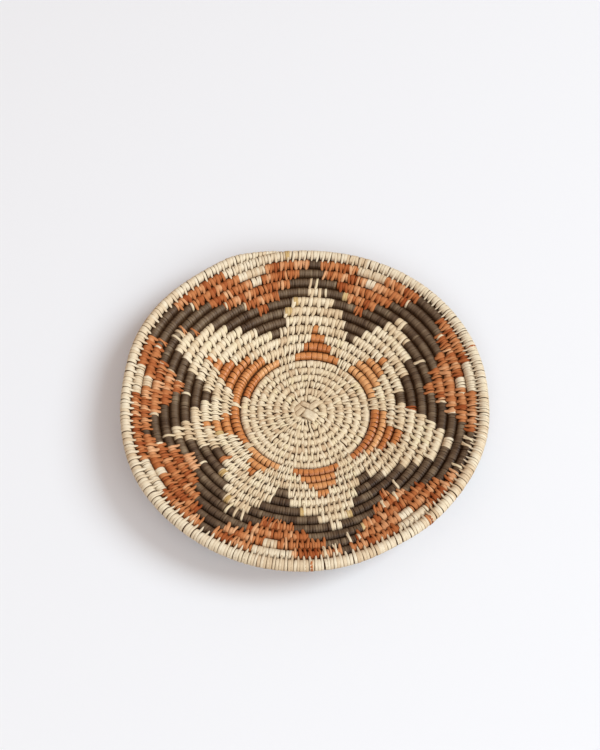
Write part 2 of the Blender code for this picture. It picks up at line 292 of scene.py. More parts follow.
@dataclass(frozen=True)
class ColourChart:
    """The star, as changes of strip along the coil."""

    coil: CoilLine
    tips: tuple[float, ...] = (149.5, 194.5, 237.5, 283.0, 338.0, 400.0, 446.5)
    notches: tuple[float, ...] = (108.0, 174.0, 212.0, 257.0, 304.5, 366.0, 421.0)
    last_inset_row: int = 3
    shortest_degrees: float = 0.6
    rows: tuple[str, ...] = (
        "C98 T120.5 D142 T156 C168 T179 C205 T217.5 D235 T239.5 C253 T265.5 D281.5 T284.5 C301.5"
        " T313 D329.5 T345.5 C362 T373.5 D393.5 T405 C419.5 T430 D444.5 T448.5",
        "T98 C105.5 T116 D136.5 T157.5 C171.5 T175.5 D193.5 T195.5 C209.5 T212 D231 T241.5 C256"
        " T260.5 D276.5 T287 C304 T309 D324 T349.5 C364 T368.5 D388.5 T406.5 C422 T425.5 D443"
        " T452.5",
        "T98 C108 T112 D131.5 T163.5 D187.5 T200 D226.5 T248.5 D271 T291.5 D320 C338 D342.5"
        " T353.5 D381.5 T412 D437 T457",
        "T98 D127 C146.5 D156.5 T166.5 D182.5 T202 D221.5 T253 D265.5 C279.5 D284 T298 D313.5"
        " C331 D346 T359 D376 C401 D405.5 T417.5 D431 C443 D449",
        "D98 T103 D119.5 C137 D158 T170 D175.5 C193 D199 T207.5 D216 C233.5 D246 C275 D289.5"
        " T304.5 D308 C326.5 D349.5 T364.5 D370 C394 D408 T421.5 D425.5 C436.5 D456.5",
        "D98 T109 D114 C132.5 D163 C190 D200.5 C230 D249 C267.5 D292.5 C323 D353.5 C386 D411.5"
        " C430.5",
        "C98 D101.5 C126.5 P150.5 C153 D165.5 C182 D206 C222 D253 C262 D296.5 C313.5 T356.5"
        " D358.5 C378 D415 C427",
        "C98 D101.5 C120 P149 C155 D171 C177 P191 C194 D209 T215.5 C218.5 D253.5 C260 P276.5"
        " C283 D301.5 C308 P333 C343 D362 C369.5 P392 C396 D418 C423.5 P442 C445.5",
        "C98 D104 C112.5 P145 C159.5 P190.5 C201 P231.5 C236.5 P271.5 C289 P326 C345 P385.5"
        " C401.5 P436.5 C446.5",
        "C98 P135 C164 P185 C203 P226.5 C241 P266.5 C290.5 P319 C357.5 P379 C405.5 P429.5 C451.5",
        "C98 P127 C175 P178.5 C214 P219.5 C248.5 P260 C296.5 P309 C359 P370.5 C407.5 P419.5",
        "P98 C100 P115.5",
    )

    def changes(self) -> list[tuple[float, Strip]]:
        """Turns at which the strip changes.

        Returns:
            Each turn with the strip that starts there.
        """
        found: list[tuple[float, Strip]] = []
        for row, line in enumerate(self.rows, 1):
            for mark in line.split():
                strip = Strip(mark[0])
                if not found or found[-1][1] is not strip:
                    found.append((self.coil.turn(row, float(mark[1:])), strip))
        return found

    def zone(self, strip: Strip, turn: float) -> Zone:
        """Find the kind of zone that a strip makes.

        Args:
            strip: The strip's colour.
            turn: The middle of its stretch.

        Returns:
            The kind of zone.
        """
        if strip is Strip.CREAM:
            return Zone.INSET if math.floor(turn) <= self.last_inset_row else Zone.STAR
        plain = {Strip.TERRACOTTA: Zone.BORDER, Strip.DARK: Zone.CHEVRON, Strip.PETAL: Zone.PETAL}
        return plain[strip]

    def sector(self, turn: float, limits: tuple[float, ...]) -> int:
        """Number, from 1, of the sector between two of the directions in limits."""
        degrees = (self.coil.end_degrees + FULL_TURN * turn - limits[0]) % FULL_TURN
        return sum(degrees >= (limit - limits[0]) % FULL_TURN for limit in limits)

    def cuts(self, start: float, end: float, limits: tuple[float, ...]) -> list[float]:
        """Find where the coil passes one of some directions.

        Args:
            start: Turn at which to start.
            end: Turn at which to end.
            limits: The directions.

        Returns:
            The turns between start and end.
        """
        margin = self.shortest_degrees / FULL_TURN
        firsts = [(limit - self.coil.end_degrees) / FULL_TURN for limit in limits]
        turns = sorted(first + math.ceil(start - first) for first in firsts)
        return [turn for turn in turns if start + margin < turn < end - margin]

    def stretches(self) -> list[Stretch]:
        """Cut the coil into stretches of one colour and one zone.

        Returns:
            The stretches, from the rim inward.
        """
        changes = self.changes()
        ends = [turn for turn, _ in changes[1:]] + [self.coil.disc_start]
        found = [Stretch(0.0, changes[0][0], Zone.RIM)]
        for (start, strip), end in zip(changes, ends):
            zone = self.zone(strip, (start + end) / 2)
            limits = self.tips if zone in (Zone.INSET, Zone.BORDER) else self.notches
            inner = [] if zone is Zone.PETAL else self.cuts(start, end, limits)
            edges = [start, *inner, end]
            for first, last in zip(edges, edges[1:]):
                found.append(Stretch(first, last, zone, self.sector((first + last) / 2, limits)))
        found.append(Stretch(self.coil.disc_start, self.coil.inner_end, Zone.DISC))
        return found


# Node trees and meshes


class TreeMaker:
    """Adds and links nodes in a node tree."""

    def __init__(self, tree: bpy.types.NodeTree) -> None:
        """Take the tree to fill."""
        self.tree = tree

    @classmethod
    def group(cls, name: str, kind: str, inputs: dict[str, tuple[str, ...]],
              outputs: dict[str, tuple[str, ...]]) -> "TreeMaker":
        """Start a node group.

        Args:
            name: The group's name.
            kind: The type of its tree.
            inputs: Names of its inputs, by type.
            outputs: Names of its outputs, by type.

        Returns:
            A maker for the group, with the inputs' sockets in given.
        """
        maker = cls(bpy.data.node_groups.new(name, kind))
        for side, sockets in (("INPUT", inputs), ("OUTPUT", outputs)):
            for socket_type, names in sockets.items():
                for socket in names:
                    maker.tree.interface.new_socket(socket, in_out=side,
                                                    socket_type=f"NodeSocket{socket_type}")
        maker.given = maker.add("NodeGroupInput").outputs
        return maker

    def fill(self, node: bpy.types.Node, inputs: dict) -> None:
        """Set a node's inputs.

        Args:
            node: The node.
            inputs: Values or sockets to link, by the input's name or number.
        """
        for key, value in inputs.items():
            if isinstance(value, Socket):
                self.tree.links.new(value, node.inputs[key])
            else:
                node.inputs[key].default_value = value

    def add(self, kind: str, inputs: dict | None = None, **settings) -> bpy.types.Node:
        """Add a node.

        Args:
            kind: The node's type.
            inputs: Values or sockets for its inputs, by name or number.
            settings: Values of its properties.

        Returns:
            The node.
        """
        node = self.tree.nodes.new(kind)
        node.location = (NODE_GAP * len(self.tree.nodes), 0)
        for name, value in settings.items():
            setattr(node, name, value)
        self.fill(node, inputs or {})
        return node

    def out(self, kind: str, inputs: dict | None = None, **settings) -> Socket:
        """Add a node and return its first output."""
        return self.add(kind, inputs, **settings).outputs[0]

    def math(self, operation: str, first: object, second: object = 0.0) -> Socket:
        """Add a math node of two inputs and return its output."""
        return self.out("ShaderNodeMath", {0: first, 1: second}, operation=operation)

    def times(self, first: object, second: object) -> Socket:
        """Multiply two numbers."""
        return self.math("MULTIPLY", first, second)

    def plus(self, first: object, second: object) -> Socket:
        """Add two numbers."""
        return self.math("ADD", first, second)

    def minus(self, first: object, second: object) -> Socket:
        """Subtract the second number from the first."""
        return self.math("SUBTRACT", first, second)

    def ease(self, value: object, low: float, high: float, to_low: float = 0.0,
             to_high: float = 1.0) -> Socket:
        """Add a smooth map from one range to another and return its output."""
        inputs = {0: value, 1: low, 2: high, 3: to_low, 4: to_high}
        return self.out("ShaderNodeMapRange", inputs, interpolation_type="SMOOTHSTEP")

    def mix(self, share: object, first: object, second: object, **settings) -> Socket:
        """Mix two colours and return the result."""
        inputs = {0: share, 6: first, 7: second}
        return self.add("ShaderNodeMix", inputs, data_type="RGBA", **settings).outputs[2]

    def attribute(self, name: str, kind: str = "FLOAT") -> Socket:
        """Read an attribute of the geometry."""
        return self.out("GeometryNodeInputNamedAttribute", {"Name": name}, data_type=kind)

    def evened(self, length: Socket) -> Socket:
        """Turn the given path into a curve with points at even lengths."""
        curve = self.out("GeometryNodeMeshToCurve", {0: self.given["Path"]})
        return self.out("GeometryNodeResampleCurve", {0: curve, "Length": length}, mode="LENGTH")

    def moved(self, geometry: Socket, direction: Socket, amount: Socket) -> Socket:
        """Move a geometry's points in a direction."""
        offset = self.out("ShaderNodeVectorMath", {0: direction, "Scale": amount},
                          operation="SCALE")
        return self.out("GeometryNodeSetPosition", {0: geometry, "Offset": offset})

    def raised(self, geometry: Socket, level: Socket, share: object) -> Socket:
        """Raise the points below a level.

        Args:
            geometry: The geometry.
            level: The level's height.
            share: Share of its depth by which a point is raised.

        Returns:
            The changed geometry.
        """
        place = self.out("GeometryNodeInputPosition")
        height = self.add("ShaderNodeSeparateXYZ", {0: place}).outputs[2]
        depth = self.math("MAXIMUM", self.minus(level, height), 0.0)
        offset = self.out("ShaderNodeCombineXYZ", {2: self.times(depth, share)})
        return self.out("GeometryNodeSetPosition", {0: geometry, "Offset": offset})

    def end(self, geometry: Socket) -> bpy.types.NodeTree:
        """End a geometry tree: realize its instances and set its finish.

        Args:
            geometry: What the tree has made.

        Returns:
            The tree.
        """
        solid = self.out("GeometryNodeRealizeInstances", {0: geometry})
        dressed = self.out("GeometryNodeSetMaterial",
                           {"Geometry": solid, "Material": self.given["Finish"]})
        self.add("NodeGroupOutput", {0: dressed})
        return self.tree


def linked(name: str, data: bpy.types.ID) -> bpy.types.Object:
    """Link a mesh, a lamp or a camera as an object at the origin.

    Args:
        name: The object's name.
        data: What it holds.

    Returns:
        The object.
    """
    item = bpy.data.objects.new(name, data)
    bpy.context.collection.objects.link(item)
    return item


def path_object(points: list[Vector], edges: list[tuple[int, int]],
                values: dict[str, list]) -> bpy.types.Object:
    """Make an object of edges for a node tree to follow.

    Args:
        points: The points.
        edges: Pairs of points' numbers.
        values: A number or vector for each point, by the attribute's name.

    Returns:
        The object.
    """
    mesh = bpy.data.meshes.new("path")
    mesh.from_pydata(points, edges, [])
    for name, numbers in values.items():
        if isinstance(numbers[0], Vector):
            flat = [part for vector in numbers for part in vector]
            mesh.attributes.new(name, VECTOR, "POINT").data.foreach_set("vector", flat)
        else:
            mesh.attributes.new(name, "FLOAT", "POINT").data.foreach_set("value", numbers)
    return linked("path", mesh)


def grown(name: str, carrier: bpy.types.Object, tree: bpy.types.NodeTree,
          values: dict[str, object]) -> bpy.types.Object:
    """Run a node tree on an object and keep the result as a plain piece.

    Args:
        name: The piece's name.
        carrier: The object that the tree follows, which is removed.
        tree: The geometry node tree.
        values: The tree's inputs by name.

    Returns:
        The piece.
    """
    modifier = carrier.modifiers.new(tree.name, "NODES")
    modifier.node_group = tree
    for item in tree.interface.items_tree:
        if item.in_out == "INPUT" and item.name in values:
            modifier[item.identifier] = values[item.name]
    graph = bpy.context.evaluated_depsgraph_get()
    graph.update()
    mesh = bpy.data.meshes.new_from_object(carrier.evaluated_get(graph))
    mesh.name = name
    for index in reversed(range(len(mesh.materials))):
        if mesh.materials[index] is None:
            mesh.materials.pop(index=index)
    bpy.data.objects.remove(carrier, do_unlink=True)
    LOG.info("%s: %d faces", name, len(mesh.polygons))
    return linked(name, mesh)


def skin(maker: bmesh.types.BMesh, rings: list[list[bmesh.types.BMVert]], shares: list[float],
         lengths: list[float], smooth_sides: int = 0, capped: bool = False) -> None:
    """Join rings of points with faces and unwrap them.

    Args:
        maker: The mesh under work.
        rings: The rings, in order.
        shares: Place of each point of a ring across the strip.
        lengths: Place of each ring along the strip.
        smooth_sides: How many of the sides, from the first one, are smooth.
        capped: Whether the first and the last ring are closed.
    """
    layer = maker.loops.layers.uv[STRIP_UV]
    for low, high, first, last in zip(rings, rings[1:], lengths, lengths[1:]):
        for spot in range(len(low)):
            after = (spot + 1) % len(low)
            face = maker.faces.new((low[spot], low[after], high[after], high[spot]))
            face.smooth = spot < smooth_sides
            places = ((shares[spot], first), (shares[after], first), (shares[after], last),
                      (shares[spot], last))
            for loop, place in zip(face.loops, places):
                loop[layer].uv = place
    if capped:
        maker.faces.new(list(reversed(rings[0])))
        maker.faces.new(rings[-1])


def closed_mesh(maker: bmesh.types.BMesh, name: str) -> bpy.types.Mesh:
    """Turn a mesh under work into a plain mesh with its faces outwards.

    Args:
        maker: The mesh under work, which is freed.
        name: The plain mesh's name.

    Returns:
        The plain mesh.
    """
    bmesh.ops.recalc_face_normals(maker, faces=maker.faces)
    mesh = bpy.data.meshes.new(name)
    maker.to_mesh(mesh)
    maker.free()
    return mesh


# Single wraps


@dataclass(frozen=True)
class StripShape:
    """How one kind of wrap is shaped, for a strip of width 1 on a coil of radius 1."""

    across: tuple[float, ...] = (-0.5, -0.36, 0.36, 0.5)
    lift_shares: tuple[float, ...] = (-0.7, 1.0, 1.0, -0.7)
    thickness: float = 0.10
    radius: float = 0.96
    pinch: float = 0.0
    reach: float = 0.0
    tail_width_share: float = 0.90
    tip_width_share: float = 0.30
    open_side: bool = False


SHAPES = {
    Wrap.PILLOW: StripShape(thickness=0.085, radius=0.91, pinch=0.14),
    Wrap.FLAT: StripShape(lift_shares=(-0.4, 1.0, 1.0, -0.4), thickness=0.035, radius=0.99,
                          pinch=0.10, open_side=True),
    Wrap.SMOOTH: StripShape(lift_shares=(-0.6, 1.0, 1.0, -0.6), thickness=0.040, radius=0.965),
    Wrap.BEAD: StripShape(lift_shares=(-0.5, 1.0, 1.0, -0.5), thickness=0.050, radius=0.98,
                          pinch=0.04),
    Wrap.STITCH: StripShape(thickness=0.085, radius=0.95, reach=1.34, tail_width_share=1.04,
                            tip_width_share=0.42),
    Wrap.SHORT_STITCH: StripShape(thickness=0.080, radius=0.94, reach=1.40, tail_width_share=1.0,
                                  tip_width_share=0.40),
    Wrap.RIM_STITCH: StripShape(thickness=0.055, radius=0.985, reach=1.52, tail_width_share=0.78,
                                tip_width_share=0.26, open_side=True),
}


@dataclass(frozen=True)
class UnitWrap:
    """One wrap of width 1 round a coil of radius 1, to be scaled where it lies.

    X runs along the coil, Y to the next row in, and Z up out of the bowl. A long stitch follows
    its own row's near side in degrees, bends, crosses the next row and comes back under it.
    """

    kind: Wrap
    seed: int
    steps: int = 12
    wobble: float = 0.012
    lean: float = 0.10
    reach_jitter: float = 0.14
    slant_share: float = 0.30
    tail_start: float = 0.4
    tail_slant: float = 0.5
    thin_share: float = 0.6
    # Crest heights on the open outer side of the rim, which keep the painted groove shade there
    # light.
    open_crest: float = 0.6
    open_crest_low: float = 0.5
    near_side: tuple[float, ...] = (270.0, 234.0, 198.0, 162.0, 126.0, 90.0)
    bend: tuple[float, float] = (0.56, 0.85)
    crossing: tuple[float, float] = (1.00, 0.76)
    middle_start: float = 1.25
    lifts: tuple[float, float, float] = (0.08, 0.04, -0.36)
    tip_length: float = 0.08
    back: tuple[tuple[float, float, float], ...] = ((1.35, -0.74, 0.55), (0.62, -0.88, 0.85))

    def ring(self, shape: StripShape, chance: random.Random) -> list[tuple[float, ...]]:
        """Path of a wrap round its own row.

        Args:
            shape: The shape of its kind.
            chance: The source of its small uneven places.

        Returns:
            Its points, as x, y, z and width.
        """
        lean = chance.uniform(-self.lean, self.lean)
        path = []
        for step in range(self.steps):
            angle = math.radians(self.near_side[0] - FULL_TURN * step / self.steps)
            radius = shape.radius + chance.uniform(-self.wobble, self.wobble)
            y = math.cos(angle)
            path.append((lean * y, y * radius, math.sin(angle) * radius,
                         1.0 - shape.pinch * y * y))
        return path

    def stitch(self, shape: StripShape, chance: random.Random) -> list[tuple[float, ...]]:
        """Path of a long stitch, over the next row in and back under it.

        Args:
            shape: The shape of its kind.
            chance: The source of its small uneven places.

        Returns:
            Its points, as x, y, z and width.
        """
        reach = shape.reach + chance.uniform(-self.reach_jitter, self.reach_jitter)
        tail, tip = shape.tail_width_share, shape.tip_width_share

        def over(y: float, lift: float) -> float:
            """Height over the next row in."""
            return math.sqrt(max(0.0, 1 - (2 - y) ** 2)) + lift

        path = []
        for degrees in self.near_side:
            angle = math.radians(degrees)
            y, z = math.cos(angle) * shape.radius, math.sin(angle) * shape.radius
            path.append((0.0, y, z, 1.0))
        middle = (self.middle_start + reach) / 2
        path += [
            (0.0, *self.bend, (1.0 + tail) / 2),
            (0.0, *self.crossing, tail),
            (0.0, middle, over(middle, self.lifts[0]), (tail + tip) / 2),
            (0.0, reach, over(reach, self.lifts[1]), tip),
            (0.0, reach + self.tip_length, over(reach, self.lifts[2]), tip),
        ]
        return path + [(0.0, *point) for point in self.back]

    def build(self) -> bpy.types.Object:
        """Build the wrap.

        Returns:
            The unlinked object, with its UV map, its height and its share of the slip.
        """
        chance = random.Random(self.seed)
        shape = SHAPES[self.kind]
        path = self.stitch(shape, chance) if shape.reach else self.ring(shape, chance)
        maker = bmesh.new()
        maker.loops.layers.uv.new(STRIP_UV)
        crest = maker.verts.layers.float.new("crest")
        tail = maker.verts.layers.float.new("tail")
        rings, lengths = [], [0.0]
        for index, (x, y, z, width) in enumerate(path):
            before, after = path[index - 1], path[(index + 1) % len(path)]
            lengths.append(lengths[-1] + math.dist((x, y, z), after[:3]))
            along = Vector((0.0, after[1] - before[1], after[2] - before[2])).normalized()
            outward = Vector((0.0, -along.z, along.y))
            thickness = shape.thickness * (self.thin_share + (1 - self.thin_share) * width)
            open_height = self.open_crest + (1 - self.open_crest) * z
            is_open = shape.open_side and y < 0
            pull = max(0.0, y - self.tail_start) * self.tail_slant
            rings.append([])
            for side, lift in zip(shape.across, shape.lift_shares):
                spot = Vector((x + side * width, y, z)) + outward * (lift * thickness)
                vertex = maker.verts.new(spot)
                # On the rim's open outer side the crest height is held at open_crest_low or more,
                # so only a light painted shade falls on its lower part.
                vertex[crest] = max(self.open_crest_low, open_height) if is_open else z
                vertex[tail] = y * self.slant_share + pull
                rings[-1].append(vertex)
        shares = [side + 0.5 for side in shape.across]
        skin(maker, rings + rings[:1], shares, lengths, len(shares))
        mesh = closed_mesh(maker, f"{self.kind.value}_{self.seed}")
        return bpy.data.objects.new(mesh.name, mesh)


@dataclass
class WrapLay:
    """How the strips of one kind of zone are laid on the coil, in metres and degrees."""

    pitch: float
    width: float
    finish: str = "cream_palm"
    wrap: Wrap = Wrap.PILLOW
    stitch: Wrap = Wrap.STITCH
    stitch_every: int = 0
    stitch_until: float = 99.0
    stitch_width_share: float = 0.62
    width_jitter: float = 0.14
    slide_jitter: float = 0.12
    slip: float = 0.0018
    slip_jitter: float = 0.0006
    tilt_jitter: float = 4.0
    swell: float = 1.0
    swell_jitter: float = 0.03
    spread_jitter: float = 0.0
    hand: int = 1
    hand_share: float = 1.0
    fan_radius: float = 0.0
    fan_power: float = 0.75
    tint_share: float = 0.45
    strip_run: int = 7
    seed: int = 1
    press_height: float = 0.0012
    press_share: float = 0.80


@dataclass
class WrapTree:
    """The node tree that lays unit wraps along a path, with inputs named like WrapLay's sizes."""

    sizes: tuple[str, ...] = ("pitch", "width", "stitch_width_share", "width_jitter",
                              "slide_jitter", "slip", "slip_jitter", "tilt_jitter", "swell",
                              "swell_jitter", "tint_share", "press_height", "press_share")
    counts: tuple[str, ...] = ("stitch_every", "strip_run", "seed")
    shape_count: int = 4
    count_slack: float = 0.99
    pick_slack: float = 0.001
    stretch_key: float = 61.0
    stitch_shift: float = 1.7

    def build(self) -> bpy.types.NodeTree:
        """Build the tree.

        Returns:
            The geometry node tree.
        """
        self.maker = maker = TreeMaker.group("lay_wraps", "GeometryNodeTree", {
            "Geometry": ("Path",), "Float": self.sizes, "Int": self.counts,
            "Collection": ("Wraps", "Stitches"), "Material": ("Finish",),
        }, {"Geometry": ("Strips",)})
        placed = self.instances(*self.points())
        solid = maker.out("GeometryNodeRealizeInstances", {0: placed})
        slip = maker.times(maker.attribute("tail"), maker.attribute("slip"))
        slipped = maker.moved(solid, maker.attribute("along", VECTOR), slip)
        given = maker.given
        return maker.end(maker.raised(slipped, given["press_height"], given["press_share"]))

    def chance(self, low: object, high: object, salt: Salt, key: Socket | None = None) -> Socket:
        """Draw a random value for each wrap, or for each key.

        Args:
            low: The lowest value.
            high: The highest value.
            salt: What the draw is for.
            key: A number that is the same for all wraps with one value.

        Returns:
            The value.
        """
        seed = self.maker.plus(self.maker.given["seed"], float(salt.value))
        inputs = {2: low, 3: high, "Seed": seed} | ({} if key is None else {"ID": key})
        return self.maker.add("FunctionNodeRandomValue", inputs, data_type="FLOAT").outputs[1]

    def jitter(self, name: str, salt: Salt) -> Socket:
        """Draw a random value from minus to plus an input of the tree."""
        amount = self.maker.given[name]
        return self.chance(self.maker.times(amount, -1.0), amount, salt)

    def points(self) -> tuple[Socket, ...]:
        """Set out one point for each wrap.

        Returns:
            The points, each one's number in its stretch, and the stretch's number.
        """
        maker, given = self.maker, self.maker.given
        length = maker.times(given["pitch"], maker.attribute("spread"))
        evened = maker.evened(maker.times(length, self.count_slack))
        index = maker.add("GeometryNodeSplineParameter").outputs["Index"]
        stretch = maker.attribute("stretch")
        slide = maker.times(self.jitter("slide_jitter", Salt.SLIDE), given["pitch"])
        laid = maker.moved(evened, maker.attribute("along", VECTOR), slide)
        run = maker.math("FLOOR", maker.math("DIVIDE", index, given["strip_run"]))
        key = maker.plus(run, maker.times(stretch, self.stretch_key))
        tint = maker.out("ShaderNodeMix", {0: given["tint_share"],
                                           2: self.chance(0.0, 1.0, Salt.RUN_TINT, key),
                                           3: self.chance(0.0, 1.0, Salt.TINT)})
        slip = maker.plus(maker.times(given["slip"], maker.attribute("slant")),
                          self.jitter("slip_jitter", Salt.SLIP))
        lot = self.chance(0.0, 1.0, Salt.LOT)
        for name, value in (("tint", tint), ("lot", lot), ("slip", slip)):
            laid = maker.out("GeometryNodeStoreNamedAttribute",
                             {"Geometry": laid, "Name": name, "Value": value},
                             data_type="FLOAT", domain="POINT")
        return laid, index, stretch

    def facing(self) -> Socket:
        """Turn each wrap along the coil and towards the next row in.

        Returns:
            The rotation, with a small tilt.
        """
        maker = self.maker
        even = maker.out("FunctionNodeAxesToRotation",
                         {"Primary Axis": maker.attribute("along", VECTOR),
                          "Secondary Axis": maker.attribute("inward", VECTOR)},
                         primary_axis="X", secondary_axis="Y")
        tilt = maker.out("FunctionNodeAxisAngleToRotation",
                         {"Axis": (0.0, 0.0, 1.0),
                          "Angle": self.jitter("tilt_jitter", Salt.TILT)})
        return maker.out("FunctionNodeRotateRotation", {"Rotation": even, "Rotate By": tilt},
                         rotation_space="LOCAL")

    def is_stitch(self, index: Socket, stretch: Socket) -> Socket:
        """Choose the points that get a long stitch.

        Args:
            index: Each point's number in its stretch.
            stretch: The number of its stretch.

        Returns:
            1 for a long stitch and 0 for a wrap.
        """
        maker, count = self.maker, self.maker.given["stitch_every"]
        offset = maker.math("FLOOR", maker.times(stretch, self.stitch_shift))
        every = maker.math("MAXIMUM", count, 1.0)
        place = maker.math("MODULO", maker.plus(index, offset), every)
        chosen = maker.times(maker.math("LESS_THAN", place, 0.5),
                             maker.math("GREATER_THAN", count, 0.5))
        return maker.times(chosen, maker.attribute("stitched"))

    def instances(self, points: Socket, index: Socket, stretch: Socket) -> Socket:
        """Put a wrap or a long stitch on each point.

        Args:
            points: The points along the coil.
            index: Each point's number in its stretch.
            stretch: The number of its stretch.

        Returns:
            The joined instances.
        """
        maker, given = self.maker, self.maker.given
        facing, is_stitch = self.facing(), self.is_stitch(index, stretch)
        width = maker.plus(1.0, self.jitter("width_jitter", Salt.WIDTH))
        width = maker.times(maker.times(given["width"], width), maker.attribute("spread"))
        swell = maker.plus(given["swell"], self.jitter("swell_jitter", Salt.SWELL))
        size = maker.times(maker.attribute("girth"), swell)
        joined = maker.add("GeometryNodeJoinGeometry")
        for chosen, pool, share, salt in (
            (maker.minus(1.0, is_stitch), given["Wraps"], 1.0, Salt.WRAP_PICK),
            (is_stitch, given["Stitches"], given["stitch_width_share"], Salt.STITCH_PICK),
        ):
            units = maker.out("GeometryNodeCollectionInfo", {
                "Collection": pool, "Separate Children": True, "Reset Children": True})
            scale = maker.out("ShaderNodeCombineXYZ",
                              {0: maker.times(width, share), 1: size, 2: size})
            pick = self.chance(0.0, self.shape_count - self.pick_slack, salt)
            placed = maker.out("GeometryNodeInstanceOnPoints", {
                "Points": points, "Selection": chosen, "Instance": units,
                "Pick Instance": True, "Instance Index": maker.math("FLOOR", pick),
                "Rotation": facing, "Scale": scale})
            maker.tree.links.new(placed, joined.inputs[0])
        return joined.outputs[0]


# Finishes


def new_material(name: str) -> tuple[bpy.types.Material, TreeMaker, bpy.types.Node]:
    """Start a material.

    Args:
        name: The material's name.

    Returns:
        The material, a maker for its nodes and its Principled shader.
    """
    material = bpy.data.materials.new(name)
    material.use_nodes = True
    tree = material.node_tree
    return material, TreeMaker(tree), tree.nodes["Principled BSDF"]


@dataclass(frozen=True)
class FibreGroup:
    """The node group of a palm strip's fibres, with painted shade at its edges and in the grooves
    between rows, and a painted highlight on its crest.
    """

    fibre: tuple[float, float, float] = (9.0, 0.7, 3.0)
    blotch: tuple[float, float, float] = (1.5, 0.8, 2.0)
    noise_scale: float = 1.5
    lot_step: float = 37.0
    bright: float = 1.10
    blotch_middle: float = 0.6
    edge_start: float = 0.34
    groove_top: float = 0.68
    groove_floor: float = 0.05
    deepest_shade: float = 0.92
    highlight_start: float = 0.62
    warmth: Colour = (0.88, 1.08, 1.30)

    def build(self) -> bpy.types.NodeTree:
        """Build the group.

        Returns:
            The group, which puts out a shade of fibre grain with painted edge shade and a painted
            crest highlight, a mask of painted shade in the grooves, and a height.
        """
        maker = TreeMaker.group("palm_fibre", "ShaderNodeTree", {
            "Vector": ("Strip UV",),
            "Float": ("Lot", "Crest", "Edge Shade", "Fibre Shade", "Crest Shine"),
        }, {"Color": ("Shade",), "Float": ("Depth", "Height")})
        given, crest = maker.given, maker.given["Crest"]
        across, along, _ = maker.add("ShaderNodeSeparateXYZ", {0: given["Strip UV"]}).outputs
        lot = maker.times(given["Lot"], self.lot_step)

        def noise(lines: float, length: float, detail: float) -> Socket:
            """Noise that runs along the strip."""
            where = maker.out("ShaderNodeCombineXYZ", {0: maker.times(across, lines),
                                                       1: maker.times(along, length), 2: lot})
            return maker.out("ShaderNodeTexNoise", {"Vector": where, "Scale": self.noise_scale,
                                                    "Detail": detail})

        fibre, blotch = noise(*self.fibre), noise(*self.blotch)
        side = maker.math("ABSOLUTE", maker.minus(across, 0.5))
        edge = maker.times(given["Edge Shade"], maker.ease(side, self.edge_start, 0.5))
        streak = maker.times(given["Fibre Shade"], maker.minus(1.0, fibre))
        mottle = maker.times(given["Fibre Shade"], maker.minus(self.blotch_middle, blotch))
        shade = maker.minus(self.bright, maker.plus(streak, mottle))
        shade = maker.times(shade, maker.minus(1.0, edge))
        # Painted highlight: the shade is raised along the crest of each ring, where the crest
        # height is high.
        highlight = maker.times(given["Crest Shine"], maker.ease(crest, self.highlight_start, 1.0))
        shade = maker.times(shade, maker.plus(1.0, highlight))
        warm = maker.out("ShaderNodeCombineColor", {
            index: maker.math("POWER", shade, power) for index, power in enumerate(self.warmth)
        })
        # Painted shade in the grooves: a mask that is strongest where the ring's height is near the
        # groove level and fades out towards its top and its underside.
        above = maker.ease(crest, self.groove_floor, self.groove_top, self.deepest_shade, 0.0)
        below = maker.ease(crest, -self.groove_top, -self.groove_floor)
        maker.add("NodeGroupOutput",
                  {"Shade": warm, "Depth": maker.times(above, below), "Height": fibre})
        return maker.tree


@dataclass(frozen=True)
class StripFinish:
    """Look of a dyed or undyed palm strip, with painted shade at its edges and in the grooves and a
    painted highlight on its crest.
    """

    name: str
    slot: str
    tones: tuple[Colour, ...]
    # Colour of the painted shade in the grooves between rows.
    groove_shade: Colour
    roughness: float
    specular: float
    edge_shade: float = 0.5
    fibre_shade: float = 0.20
    # Strength of the painted highlight along the crest of each ring.
    crest_highlight: float = 0.0
    bump: float = 0.5
    bump_distance: float = 0.00012
    height_range: tuple[float, float] = (0.3, 0.7)
    smoother: float = 0.08
    rougher: float = 0.10

    def build(self, fibre: bpy.types.NodeTree) -> bpy.types.Material:
        """Build the material.

        Args:
            fibre: The node group of the strip's fibres.

        Returns:
            The material.
        """
        material, maker, shader = new_material(self.name)
        tint, lot, crest = (maker.add("ShaderNodeAttribute", attribute_name=name).outputs["Fac"]
                            for name in ("tint", "lot", "crest"))
        ramp = maker.add("ShaderNodeValToRGB", {0: tint})
        points = ramp.color_ramp.elements
        for index, tone in enumerate(self.tones):
            place = index / (len(self.tones) - 1)
            point = points[0] if not index else points[-1] if place == 1 else points.new(place)
            point.position = place
            point.color = (*tone, 1.0)
        grain = maker.add("ShaderNodeGroup", {
            "Strip UV": maker.out("ShaderNodeUVMap", uv_map=STRIP_UV), "Lot": lot, "Crest": crest,
            "Edge Shade": self.edge_shade, "Fibre Shade": self.fibre_shade,
            "Crest Shine": self.crest_highlight,
        }, node_tree=fibre).outputs
        # The tones are multiplied by the shade, which holds the painted edge shade and the painted
        # crest highlight, and are then mixed towards the painted groove shade.
        shaded = maker.mix(1.0, ramp.outputs[0], grain["Shade"], blend_type="MULTIPLY")
        maker.fill(shader, {
            "Base Color": maker.mix(grain["Depth"], shaded, (*self.groove_shade, 1.0)),
            "Roughness": maker.ease(grain["Height"], *self.height_range,
                                    self.roughness - self.smoother,
                                    self.roughness + self.rougher),
            "Normal": maker.out("ShaderNodeBump", {
                "Strength": self.bump, "Distance": self.bump_distance,
                "Height": grain["Height"]}),
            "Specular IOR Level": self.specular,
        })
        return material


